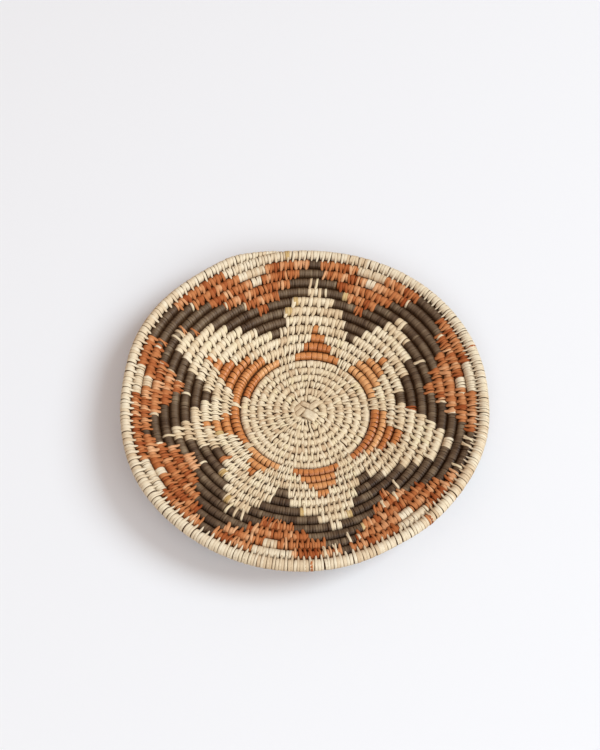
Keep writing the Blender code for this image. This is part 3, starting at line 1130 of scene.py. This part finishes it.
@dataclass(frozen=True)
class StemFinish:
    """Look of the dry grass stems inside the coil, in tones darkened to a painted shade, as they
    are seen only in the gaps between the wraps.
    """

    name: str = "dry_grass"
    slot: str = "grass_core"
    # Dark tones that paint the shade in which the stems lie.
    light: Colour = (0.105, 0.040, 0.012)
    dark: Colour = (0.040, 0.013, 0.004)
    roughness: float = 0.8
    specular: float = 0.05
    grain_scale: float = 900.0
    grain_range: tuple[float, float] = (0.35, 0.65)
    bump: float = 0.5
    bump_distance: float = 0.0002

    def build(self) -> bpy.types.Material:
        """Build the material.

        Returns:
            The material.
        """
        material, maker, shader = new_material(self.name)
        where = maker.add("ShaderNodeTexCoord").outputs["Object"]
        grain = maker.out("ShaderNodeTexNoise", {"Vector": where, "Scale": self.grain_scale,
                                                 "Detail": 2.0})
        share = maker.ease(grain, *self.grain_range)
        maker.fill(shader, {
            "Base Color": maker.mix(share, (*self.dark, 1.0), (*self.light, 1.0)),
            "Normal": maker.out("ShaderNodeBump", {
                "Strength": self.bump, "Distance": self.bump_distance, "Height": grain}),
            "Roughness": self.roughness,
            "Specular IOR Level": self.specular,
        })
        return material


# Colour of the painted shade in the grooves, for the cream, golden and patch finishes.
GROOVE_SHADE = (0.13, 0.036, 0.007)
FINISHES = (
    StripFinish(
        "cream_palm", "cream_strip",
        ((0.60, 0.41, 0.24), (0.72, 0.56, 0.355), (0.80, 0.65, 0.445), (0.75, 0.60, 0.355)),
        GROOVE_SHADE, 0.60, 0.08, edge_shade=0.60, crest_highlight=0.13),
    StripFinish(
        "star_palm", "cream_strip",
        ((0.61, 0.425, 0.25), (0.71, 0.54, 0.335), (0.80, 0.655, 0.45), (0.76, 0.62, 0.38)),
        (0.085, 0.020, 0.003), 0.60, 0.05, edge_shade=0.96, crest_highlight=0.20),
    StripFinish(
        "rim_palm", "cream_strip",
        ((0.60, 0.42, 0.25), (0.71, 0.55, 0.36), (0.78, 0.65, 0.465), (0.74, 0.60, 0.40)),
        (0.10, 0.024, 0.005), 0.56, 0.08, edge_shade=0.84, crest_highlight=0.14),
    StripFinish(
        "terracotta_palm", "terracotta_strip",
        ((0.25, 0.050, 0.012), (0.37, 0.108, 0.032), (0.48, 0.180, 0.064), (0.66, 0.36, 0.18)),
        (0.042, 0.006, 0.001), 0.55, 0.06, edge_shade=0.76, crest_highlight=0.44),
    StripFinish(
        "petal_palm", "petal_strip",
        ((0.42, 0.125, 0.030), (0.49, 0.170, 0.046), (0.57, 0.24, 0.080), (0.66, 0.34, 0.14)),
        (0.045, 0.005, 0.001), 0.34, 0.40, edge_shade=0.84, crest_highlight=0.42),
    StripFinish(
        "dark_palm", "dark_strip",
        ((0.036, 0.016, 0.007), (0.062, 0.032, 0.015), (0.085, 0.047, 0.023),
         (0.144, 0.088, 0.045)),
        (0.009, 0.003, 0.001), 0.44, 0.22, edge_shade=0.66, crest_highlight=1.35),
    StripFinish(
        "golden_palm", "cream_strip",
        ((0.50, 0.30, 0.10), (0.64, 0.44, 0.19), (0.74, 0.56, 0.29)),
        GROOVE_SHADE, 0.50, 0.12, edge_shade=0.60),
    StripFinish(
        "patch_palm", "woven_patch",
        ((0.74, 0.54, 0.33), (0.84, 0.67, 0.45), (0.90, 0.77, 0.56)),
        GROOVE_SHADE, 0.5, 0.12, fibre_shade=0.50),
)


# Strips and core


@dataclass(frozen=True)
class Accent:
    """Single strips laid over the others: (row, direction) of each one."""

    name: str
    wraps: int
    lay: WrapLay
    places: tuple[tuple[int, float], ...]


@dataclass
class WrapWork:
    """Wraps every stretch of the coil in its strips.

    The hands are directions, each with the strips' spread and slant and the rim's spread.
    """

    coil: CoilLine
    chart: ColourChart
    path_step: float = 2.5
    arc: float = 30.0
    least_path: float = 1.02
    unit_seed: int = 100
    seed_step: int = 100
    hands: tuple[tuple[float, float, float, float], ...] = (
        (98.0, 1.25, 0.9, 0.95), (130.0, 1.28, 1.1, 1.15), (155.0, 1.13, 1.0, 1.15),
        (178.0, 0.82, 0.6, 0.95), (215.0, 0.86, 0.2, 1.0), (243.0, 0.78, 0.0, 0.80),
        (270.0, 0.86, -0.1, 0.80), (295.0, 0.92, 0.8, 0.85), (320.0, 1.05, 1.2, 0.85),
        (345.0, 1.07, 1.0, 0.68), (368.0, 1.07, 0.3, 0.72), (400.0, 1.10, -0.2, 0.85),
        (430.0, 1.07, -0.2, 0.90), (458.0, 1.25, 0.9, 0.95),
    )
    lays: dict[Zone, WrapLay] = field(default_factory=lambda: {
        Zone.RIM: WrapLay(
            0.0033, 0.0041, "rim_palm", Wrap.FLAT, Wrap.RIM_STITCH, stitch_every=2,
            stitch_width_share=0.86, slip=0.0014, width_jitter=0.10, slide_jitter=0.16,
            tilt_jitter=2.5, swell=1.01, swell_jitter=0.02, hand=3, seed=3),
        Zone.INSET: WrapLay(
            0.0027, 0.0032, "rim_palm", Wrap.FLAT, stitch_every=2, stitch_until=1.1,
            stitch_width_share=0.80, slip=0.0008, swell=1.02, hand_share=0.5, seed=5),
        Zone.BORDER: WrapLay(
            0.0028, 0.0038, "terracotta_palm", stitch_every=2, stitch_width_share=0.90,
            slip=0.0012, slip_jitter=0.0014, tilt_jitter=8.0, slide_jitter=0.22,
            width_jitter=0.20, swell_jitter=0.06, spread_jitter=0.20, tint_share=0.22,
            strip_run=2, hand_share=0.35, seed=7),
        Zone.CHEVRON: WrapLay(
            0.0024, 0.0027, "dark_palm", Wrap.SMOOTH, slip=0.0005, tilt_jitter=1.5,
            width_jitter=0.12, slide_jitter=0.10, swell_jitter=0.014, strip_run=4,
            hand_share=0.3, seed=9),
        Zone.STAR: WrapLay(
            0.0028, 0.0038, "star_palm", stitch=Wrap.SHORT_STITCH, stitch_every=2,
            stitch_width_share=0.84, slip=0.0025, slip_jitter=0.0008, tilt_jitter=5.0,
            slide_jitter=0.16, swell_jitter=0.05, fan_radius=0.100, seed=11),
        Zone.PETAL: WrapLay(
            0.0041, 0.0043, "petal_palm", Wrap.BEAD, tilt_jitter=1.8, width_jitter=0.10,
            slide_jitter=0.06, swell_jitter=0.010, spread_jitter=0.32, tint_share=0.20,
            strip_run=40, hand_share=0.3, seed=13),
        Zone.DISC: WrapLay(
            0.0029, 0.0046, stitch=Wrap.SHORT_STITCH, stitch_every=2, slip=0.0014,
            slip_jitter=0.0010, tilt_jitter=9.0, slide_jitter=0.18, width_jitter=0.18,
            swell_jitter=0.06, tint_share=0.70, strip_run=3, hand_share=0.3, seed=15),
    })
    accents: tuple[Accent, ...] = (
        Accent("golden_knots", 2, WrapLay(
            0.0020, 0.0026, "golden_palm", Wrap.BEAD, swell=1.05, tilt_jitter=5.0, seed=21,
        ), (
            (7, 99.8), (9, 200.0), (5, 235.5), (7, 224.0), (3, 291.5), (5, 288.5), (6, 268.3),
            (4, 432.0), (5, 454.8), (6, 458.5), (0, 456.5),
        )),
        Accent("cream_knots", 1, WrapLay(
            0.0020, 0.0024, swell=1.06, tilt_jitter=12.0, seed=22,
        ), (
            (2, 137.2), (2, 158.8), (3, 164.3), (4, 126.2), (4, 166.3), (5, 118.8), (5, 170.2),
            (3, 199.8), (2, 288.2), (3, 353.8), (4, 359.2), (2, 387.8), (2, 407.2), (6, 214.0),
            (6, 175.0), (5, 438.0), (4, 441.0), (2, 361.5), (3, 186.8), (4, 331.8),
        )),
        Accent("cream_threads", 1, WrapLay(
            0.0020, 0.0024, stitch_every=1, stitch_width_share=1.0,
            slip_jitter=0.0015, swell=1.05, tilt_jitter=9.0, seed=23,
        ), (
            (3, 149.0), (3, 151.6), (3, 445.3), (3, 447.8), (4, 196.9), (4, 238.2), (4, 241.6),
            (4, 244.6), (4, 302.4), (4, 308.8), (5, 313.0), (1, 331.6), (1, 340.2), (1, 342.8),
            (5, 382.0), (9, 106.0), (2, 284.8), (1, 276.0), (1, 279.5),
        )),
        Accent("terracotta_threads", 1, WrapLay(
            0.0020, 0.0018, "terracotta_palm", stitch_every=1,
            stitch_width_share=1.0, slip_jitter=0.0022, swell=1.06, tilt_jitter=12.0, seed=24,
        ), (
            (3, 147.0), (4, 144.6), (4, 253.0), (4, 255.6), (4, 257.4), (4, 259.4), (3, 168.5),
            (5, 170.5), (5, 103.0), (2, 156.0), (2, 199.0),
        )),
        Accent("rim_marks", 1, WrapLay(
            0.0030, 0.0022, "terracotta_palm", Wrap.FLAT, swell=1.02, tilt_jitter=3.0,
            seed=25,
        ), (
            (0, 310.2), (0, 311.0), (0, 271.6), (0, 378.6),
        )),
    )

    def hand(self, degrees: float, place: int) -> float:
        """Ease one of the hands' values between the listed directions.

        Args:
            degrees: The direction.
            place: Which value: 1 the spread, 2 the slant, 3 the rim's spread.

        Returns:
            The value.
        """
        degrees = (degrees - self.hands[0][0]) % FULL_TURN + self.hands[0][0]
        for near, far in zip(self.hands, self.hands[1:]):
            if degrees <= far[0]:
                share = (degrees - near[0]) / (far[0] - near[0])
                return near[place] * (1 - share) + far[place] * share
        return self.hands[-1][place]

    def arcs(self, stretch: Stretch) -> list[tuple[float, float]]:
        """Cut a stretch into short arcs, each with one spread of its strips.

        Args:
            stretch: The stretch.

        Returns:
            The turns at which each arc starts and ends.
        """
        count = max(1, round((stretch.end - stretch.start) * FULL_TURN / self.arc))
        step = (stretch.end - stretch.start) / count
        return [(stretch.start + step * index, stretch.start + step * (index + 1))
                for index in range(count)]

    def fitted(self, start: float, end: float, lay: WrapLay, share: float) -> tuple[float, ...]:
        """Fit a whole number of strips into an arc.

        Args:
            start: Turn at which the arc starts.
            end: Turn at which it ends.
            lay: How the strips are laid.
            share: Spread of the strips of its stretch.

        Returns:
            The spread of its strips, and the turns of the first and the last one.
        """
        middle = (start + end) / 2
        radius = self.coil.uneven_radius(middle)
        hand = self.hand(self.coil.degrees(middle), lay.hand)
        spread = share * (1 + (hand - 1) * lay.hand_share)
        if lay.fan_radius:
            spread *= (radius / lay.fan_radius) ** lay.fan_power
        length = (end - start) * math.tau * radius
        unit = max(1, lay.stitch_every)
        count = max(1, unit * round(length / (unit * lay.pitch * spread)))
        if length > unit * lay.pitch * spread / 2:
            count = max(unit, count)
        half = (end - start) / count / 2
        last = max(end - half, start + half * self.least_path)
        return length / count / lay.pitch, start + half, last

    def path(self, stretches: list[Stretch], lay: WrapLay) -> bpy.types.Object:
        """Lay out the paths of one piece's stretches.

        Args:
            stretches: The stretches of one colour that make the piece.
            lay: How their strips are laid.

        Returns:
            An object of edges with the coil's size and directions at each point.
        """
        chance = random.Random(lay.seed)
        points: list[Vector] = []
        edges: list[tuple[int, int]] = []
        values: dict[str, list] = {}
        number = 0
        for stretch in stretches:
            share = 1 + chance.uniform(-lay.spread_jitter, lay.spread_jitter)
            for start, end in self.arcs(stretch):
                spread, first, last = self.fitted(start, end, lay, share)
                steps = max(1, round((last - first) * FULL_TURN / self.path_step))
                for step in range(steps + 1):
                    turn = first + (last - first) * step / steps
                    if step:
                        edges.append((len(points) - 1, len(points)))
                    points.append(self.coil.point(turn))
                    inward = self.coil.inward(turn)
                    for name, value in {
                        "girth": inward.length / 2 * self.coil.taper(turn),
                        "slant": self.hand(self.coil.degrees(turn), 2),
                        "stretch": float(number), "spread": spread,
                        "stitched": float(stretch.end < lay.stitch_until),
                        "inward": inward.normalized(), "along": self.coil.along(turn),
                    }.items():
                        values.setdefault(name, []).append(value)
                number += 1
        return path_object(points, edges, values)

    def laid(self, name: str, stretches: list[Stretch], lay: WrapLay,
             seed: int) -> bpy.types.Object:
        """Lay the strips of one piece.

        Args:
            name: The piece's name.
            stretches: The stretches of the coil that it covers.
            lay: How its strips are laid.
            seed: Seed of its random draws.

        Returns:
            The finished piece.
        """
        values = {size: getattr(lay, size) for size in self.shape.sizes + self.shape.counts}
        values |= {"tilt_jitter": math.radians(lay.tilt_jitter), "seed": seed,
                   "Wraps": self.pools[lay.wrap], "Stitches": self.pools[lay.stitch],
                   "Finish": self.finishes[lay.finish]}
        return grown(f"{name}_strips", self.path(stretches, lay), self.tree, values)

    def build(self) -> dict[str, bpy.types.Object]:
        """Build one piece for each zone of the frame.

        Returns:
            The pieces by the name of the solid that each one stands for.
        """
        groups: dict[str, list[Stretch]] = {}
        for stretch in self.chart.stretches():
            groups.setdefault(stretch.piece, []).append(stretch)
        pieces = {}
        for number, (name, stretches) in enumerate(sorted(groups.items())):
            lay = self.lays[stretches[0].zone]
            seed = lay.seed + self.seed_step * number
            pieces[name] = self.laid(name, stretches, lay, seed)
        return pieces

    def build_accents(self) -> list[bpy.types.Object]:
        """Build the single strips that lie over the others.

        Returns:
            The finished pieces.
        """
        pieces = []
        for accent in self.accents:
            stretches = []
            for row, degrees in accent.places:
                turn = self.coil.turn(row, degrees)
                half = accent.wraps * accent.lay.pitch / 2 / (math.tau * self.coil.radius(turn))
                stretches.append(Stretch(turn - half, turn + half, Zone.STAR))
            pieces.append(self.laid(accent.name, stretches, accent.lay, accent.lay.seed))
        return pieces

    def start(self, finishes: dict[str, bpy.types.Material]) -> None:
        """Make the node tree and the pools of unit wraps.

        Args:
            finishes: The strips' materials by name.
        """
        self.finishes = finishes
        self.shape = WrapTree()
        self.tree = self.shape.build()
        self.pools = {kind: bpy.data.collections.new(kind.value) for kind in Wrap}
        for kind, pool in self.pools.items():
            for number in range(self.shape.shape_count):
                pool.objects.link(UnitWrap(kind, self.unit_seed + number).build())

    def end(self) -> None:
        """Remove the unit wraps."""
        for pool in self.pools.values():
            for unit in list(pool.objects):
                bpy.data.objects.remove(unit, do_unlink=True)
            bpy.data.collections.remove(pool)


@dataclass
class GrassCore:
    """The bundle of grass stems that every strip is wrapped round, in metres."""

    coil: CoilLine
    girth_share: float = 0.90
    groove_girth_share: float = 0.30
    step: float = 0.006
    stems: int = 7
    stem_depth_share: float = 0.14
    twist_per_step: float = 0.35
    path_step: float = 4.0
    floor: float = 0.0004

    def tree(self) -> bpy.types.NodeTree:
        """Build the node tree that sweeps a bundle of stems along a path.

        Returns:
            The geometry node tree.
        """
        maker = TreeMaker.group("sweep_stems", "GeometryNodeTree", {
            "Geometry": ("Path",), "Int": ("Stems",), "Material": ("Finish",),
            "Float": ("Step", "Girth Share", "Stem Depth", "Twist", "Floor"),
        }, {"Geometry": ("Core",)})
        given = maker.given
        index = maker.add("GeometryNodeSplineParameter").outputs["Index"]
        twisted = maker.out("GeometryNodeSetCurveTilt", {
            "Curve": maker.evened(given["Step"]), "Tilt": maker.times(index, given["Twist"])})
        bundle = maker.out("GeometryNodeCurveStar", {
            "Points": given["Stems"], "Outer Radius": 1.0,
            "Inner Radius": maker.minus(1.0, given["Stem Depth"])})
        swept = maker.out("GeometryNodeCurveToMesh", {
            "Curve": twisted, "Profile Curve": bundle, "Fill Caps": True,
            "Scale": maker.times(maker.attribute("girth"), given["Girth Share"])})
        return maker.end(maker.raised(swept, given["Floor"], 1.0))

    def build(self, finish: bpy.types.Material) -> bpy.types.Object:
        """Build the core.

        Args:
            finish: Its material.

        Returns:
            The finished piece.
        """
        steps = round(self.coil.inner_end * FULL_TURN / self.path_step)
        turns = [self.coil.inner_end * step / steps for step in range(steps + 1)]
        in_grooves = [turn for turn in turns if turn < self.coil.inner_end - 1]
        places = [self.coil.point(turn) for turn in turns]
        places += [self.coil.point(turn) + self.coil.inward(turn) * self.coil.taper(turn) / 2
                   for turn in in_grooves]
        edges = [(step, step + 1) for step in range(len(places) - 1) if step != len(turns) - 1]
        girths = [self.coil.inward(turn).length / 2 * self.coil.taper(turn) for turn in turns]
        girths += [girth * self.groove_girth_share for girth in girths[:len(in_grooves)]]
        return grown("foundation_coil_stems", path_object(places, edges, {"girth": girths}),
                     self.tree(), {"Step": self.step, "Girth Share": self.girth_share,
                                   "Stem Depth": self.stem_depth_share, "Floor": self.floor,
                                   "Twist": self.twist_per_step, "Stems": self.stems,
                                   "Finish": finish})


@dataclass(frozen=True)
class Ribbon:
    """A flat strip of the centre patch, from end to end, in metres."""

    start: tuple[float, float]
    end: tuple[float, float]
    width: float
    lift: float
    tint: float


@dataclass
class CentrePatch:
    """The small plaited patch that the coil starts from, in metres.

    The pad's levels are shares of its height and radius. The ribbon's profile gives each point's
    place across it, its rise in thicknesses and its place on the strip's UV map.
    """

    height: float = 0.0080
    pad_radius: float = 0.0088
    pad_centre: tuple[float, float] = (0.0015, 0.0010)
    pad_levels: tuple[tuple[float, float], ...] = (
        (0.02, 0.86), (0.30, 1.0), (0.62, 1.0), (0.80, 0.80), (0.86, 0.4),
    )
    fall: float = 0.0010
    fall_radius: float = 0.012
    fall_end: float = 1.25
    fall_power: float = 3.0
    tuck: float = 0.0022
    tuck_power: float = 6.0
    profile: tuple[tuple[float, float, float], ...] = (
        (-0.50, -0.60, 0.00), (-0.34, 0.45, 0.16), (0.0, 0.70, 0.50), (0.34, 0.45, 0.84),
        (0.50, -0.60, 1.00), (0.45, -2.00, 0.95), (-0.45, -2.00, 0.05),
    )
    top_sides: int = 4
    strip_length: float = 0.0046
    thickness: float = 0.0006
    steps: int = 10
    sides: int = 32
    ribbons: tuple[Ribbon, ...] = (
        Ribbon((-0.0118, -0.0012), (-0.0030, 0.0064), 0.0052, 0.0000, 0.35),
        Ribbon((-0.0104, -0.0068), (-0.0004, 0.0024), 0.0054, 0.0004, 0.50),
        Ribbon((-0.0054, 0.0078), (0.0050, 0.0024), 0.0056, 0.0008, 0.45),
        Ribbon((0.0022, -0.0002), (0.0134, 0.0098), 0.0066, 0.0011, 0.60),
        Ribbon((-0.0026, -0.0028), (0.0098, -0.0092), 0.0100, 0.0015, 0.95),
    )

    def surface(self, x: float, y: float) -> float:
        """Height of the patch over the ground."""
        away = math.hypot(x - self.pad_centre[0], y - self.pad_centre[1]) / self.fall_radius
        return self.height - self.fall * min(away, self.fall_end) ** self.fall_power

    def add_pad(self, maker: bmesh.types.BMesh) -> None:
        """Add the closed pad under the ribbons.

        Args:
            maker: The mesh under work.
        """
        rings = []
        for height_share, radius_share in self.pad_levels:
            rings.append([])
            for side in range(self.sides):
                angle = math.tau * side / self.sides
                radius = self.pad_radius * radius_share
                rings[-1].append(maker.verts.new((self.pad_centre[0] + radius * math.cos(angle),
                                                  self.pad_centre[1] + radius * math.sin(angle),
                                                  self.height * height_share)))
        skin(maker, rings, [0.0] * self.sides, [0.0] * len(rings), capped=True)

    def add_ribbon(self, maker: bmesh.types.BMesh, ribbon: Ribbon) -> None:
        """Add one ribbon.

        Args:
            maker: The mesh under work.
            ribbon: The ribbon's place and size.
        """
        tint, lot = (maker.verts.layers.float[name] for name in ("tint", "lot"))
        start, end = Vector((*ribbon.start, 0.0)), Vector((*ribbon.end, 0.0))
        along = (end - start).normalized()
        side = Vector((-along.y, along.x, 0.0))
        rings = []
        for step in range(self.steps + 1):
            share = step / self.steps
            tuck = (2 * share - 1) ** self.tuck_power * self.tuck
            rings.append([])
            for place, rise, _ in self.profile:
                point = start.lerp(end, share) + side * (place * ribbon.width)
                point.z = self.surface(point.x, point.y) + ribbon.lift - tuck
                point.z += rise * self.thickness
                vertex = maker.verts.new(point)
                vertex[tint] = vertex[lot] = ribbon.tint
                rings[-1].append(vertex)
        length = (end - start).length / self.strip_length
        lengths = [length * step / self.steps for step in range(self.steps + 1)]
        shares = [share for _, _, share in self.profile]
        skin(maker, rings, shares, lengths, self.top_sides, capped=True)

    def build(self, finish: bpy.types.Material) -> bpy.types.Object:
        """Build the patch.

        Args:
            finish: Its material.

        Returns:
            The finished piece.
        """
        maker = bmesh.new()
        maker.loops.layers.uv.new(STRIP_UV)
        for name in ("tint", "lot", "crest"):
            maker.verts.layers.float.new(name)
        self.add_pad(maker)
        for ribbon in self.ribbons:
            self.add_ribbon(maker, ribbon)
        crest = maker.verts.layers.float["crest"]
        for vertex in maker.verts:
            vertex[crest] = 1.0
        mesh = closed_mesh(maker, "start_patch_plait")
        mesh.materials.append(finish)
        return linked(mesh.name, mesh)


# Studio


@dataclass(frozen=True)
class Lamp:
    """A soft round lamp that faces the basket: direction, size and power."""

    name: str
    azimuth: float
    elevation: float
    distance: float
    size: float
    power: float

    def build(self, colour: Colour) -> None:
        """Build the lamp.

        Args:
            colour: Its light's colour.
        """
        data = bpy.data.lights.new(self.name, "AREA")
        data.color = colour
        data.shape = "DISK"
        data.size = self.size
        data.energy = self.power
        lamp = linked(self.name, data)
        azimuth, elevation = math.radians(self.azimuth), math.radians(self.elevation)
        place = Vector((math.cos(azimuth) * math.cos(elevation),
                        math.sin(azimuth) * math.cos(elevation), math.sin(elevation)))
        lamp.location = place * self.distance
        lamp.rotation_mode = "QUATERNION"
        lamp.rotation_quaternion = (-place).to_track_quat("-Z", "Y")


@dataclass
class Studio:
    """Floor, lamps and the camera at the photograph's place, in metres and degrees."""

    photo_width: float = 600.0
    photo_height: float = 750.0
    axis_column: float = 305.8
    axis_line: float = 403.0
    axis_height: float = 0.020
    camera_elevation: float = 59.8
    camera_distance: float = 1.10
    focal_pixels: float = 1190.0
    sensor: float = 36.0
    floor_size: float = 8.0
    floor_colour: Colour = (0.90, 0.90, 0.91)
    world_colour: Colour = (1.26, 0.972, 0.815)
    floor_roughness: float = 0.9
    floor_specular: float = 0.2
    world_strength: float = 0.316
    lamp_colour: Colour = (0.885, 1.01, 1.10)
    lamps: tuple[Lamp, ...] = (
        Lamp("key", 3.5, 42.0, 7.0, 3.8, 316.0),
        Lamp("front_right", -50.0, 36.0, 7.0, 4.2, 104.0),
        Lamp("front_fill", -95.0, 45.0, 7.0, 4.2, 135.0),
    )

    def build(self) -> None:
        """Build the floor, the lamps, the world and the camera."""
        self.build_floor()
        self.build_light()
        self.build_camera()
        bpy.context.scene.view_settings.view_transform = "Standard"

    def build_floor(self) -> None:
        """Build the plain pale floor."""
        half = self.floor_size / 2
        mesh = bpy.data.meshes.new("floor")
        mesh.from_pydata([(-half, -half, 0), (half, -half, 0), (half, half, 0), (-half, half, 0)],
                         [], [(0, 1, 2, 3)])
        floor = linked("floor", mesh)
        material, maker, shader = new_material("pale_floor")
        maker.fill(shader, {"Base Color": (*self.floor_colour, 1.0),
                            "Roughness": self.floor_roughness,
                            "Specular IOR Level": self.floor_specular})
        mesh.materials.append(material)

    def build_light(self) -> None:
        """Build the soft lamps and the even world light."""
        for lamp in self.lamps:
            lamp.build(self.lamp_colour)
        world = bpy.data.worlds.new("studio")
        world.use_nodes = True
        background = world.node_tree.nodes["Background"]
        background.inputs["Color"].default_value = (*self.world_colour, 1.0)
        background.inputs["Strength"].default_value = self.world_strength
        bpy.context.scene.world = world

    def build_camera(self) -> None:
        """Build the camera, turned so that the basket's axis falls on its pixel."""
        data = bpy.data.cameras.new("camera")
        data.sensor_width = self.sensor
        longest = max(self.photo_width, self.photo_height)
        data.lens = self.focal_pixels / longest * self.sensor
        camera = linked("camera", data)
        elevation = math.radians(self.camera_elevation)
        back = Vector((0.0, -math.cos(elevation), math.sin(elevation)))
        camera.location = Vector((0.0, 0.0, self.axis_height)) + back * self.camera_distance
        across = math.atan((self.axis_column - self.photo_width / 2) / self.focal_pixels)
        down = math.atan((self.axis_line - self.photo_height / 2) / self.focal_pixels)
        camera.rotation_mode = "QUATERNION"
        camera.rotation_quaternion = (
            (-back).to_track_quat("-Z", "Y")
            @ Quaternion((0.0, 1.0, 0.0), across)
            @ Quaternion((1.0, 0.0, 0.0), down)
        )
        bpy.context.scene.camera = camera


def main() -> None:
    """Build the basket's pieces and the studio."""
    logging.basicConfig(level=logging.INFO, format="%(name)s: %(message)s")
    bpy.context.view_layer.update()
    coil, stems, fibre = CoilLine(), StemFinish(), FibreGroup().build()
    finishes = {finish.name: finish.build(fibre) for finish in FINISHES}
    work = WrapWork(coil, ColourChart(coil))
    work.start(finishes)
    pieces = work.build()
    extras = work.build_accents()
    work.end()
    pieces["foundation_coil"] = GrassCore(coil).build(stems.build())
    pieces["start_patch"] = CentrePatch().build(finishes["patch_palm"])
    for node, piece in pieces.items():
        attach(piece, ROOT_BODY)
        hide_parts(node)
        LOG.info("%s stands for %s", piece.name, node)
    for piece in extras:
        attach(piece, ROOT_BODY)
    Studio().build()


if __name__ == "__main__":
    main()
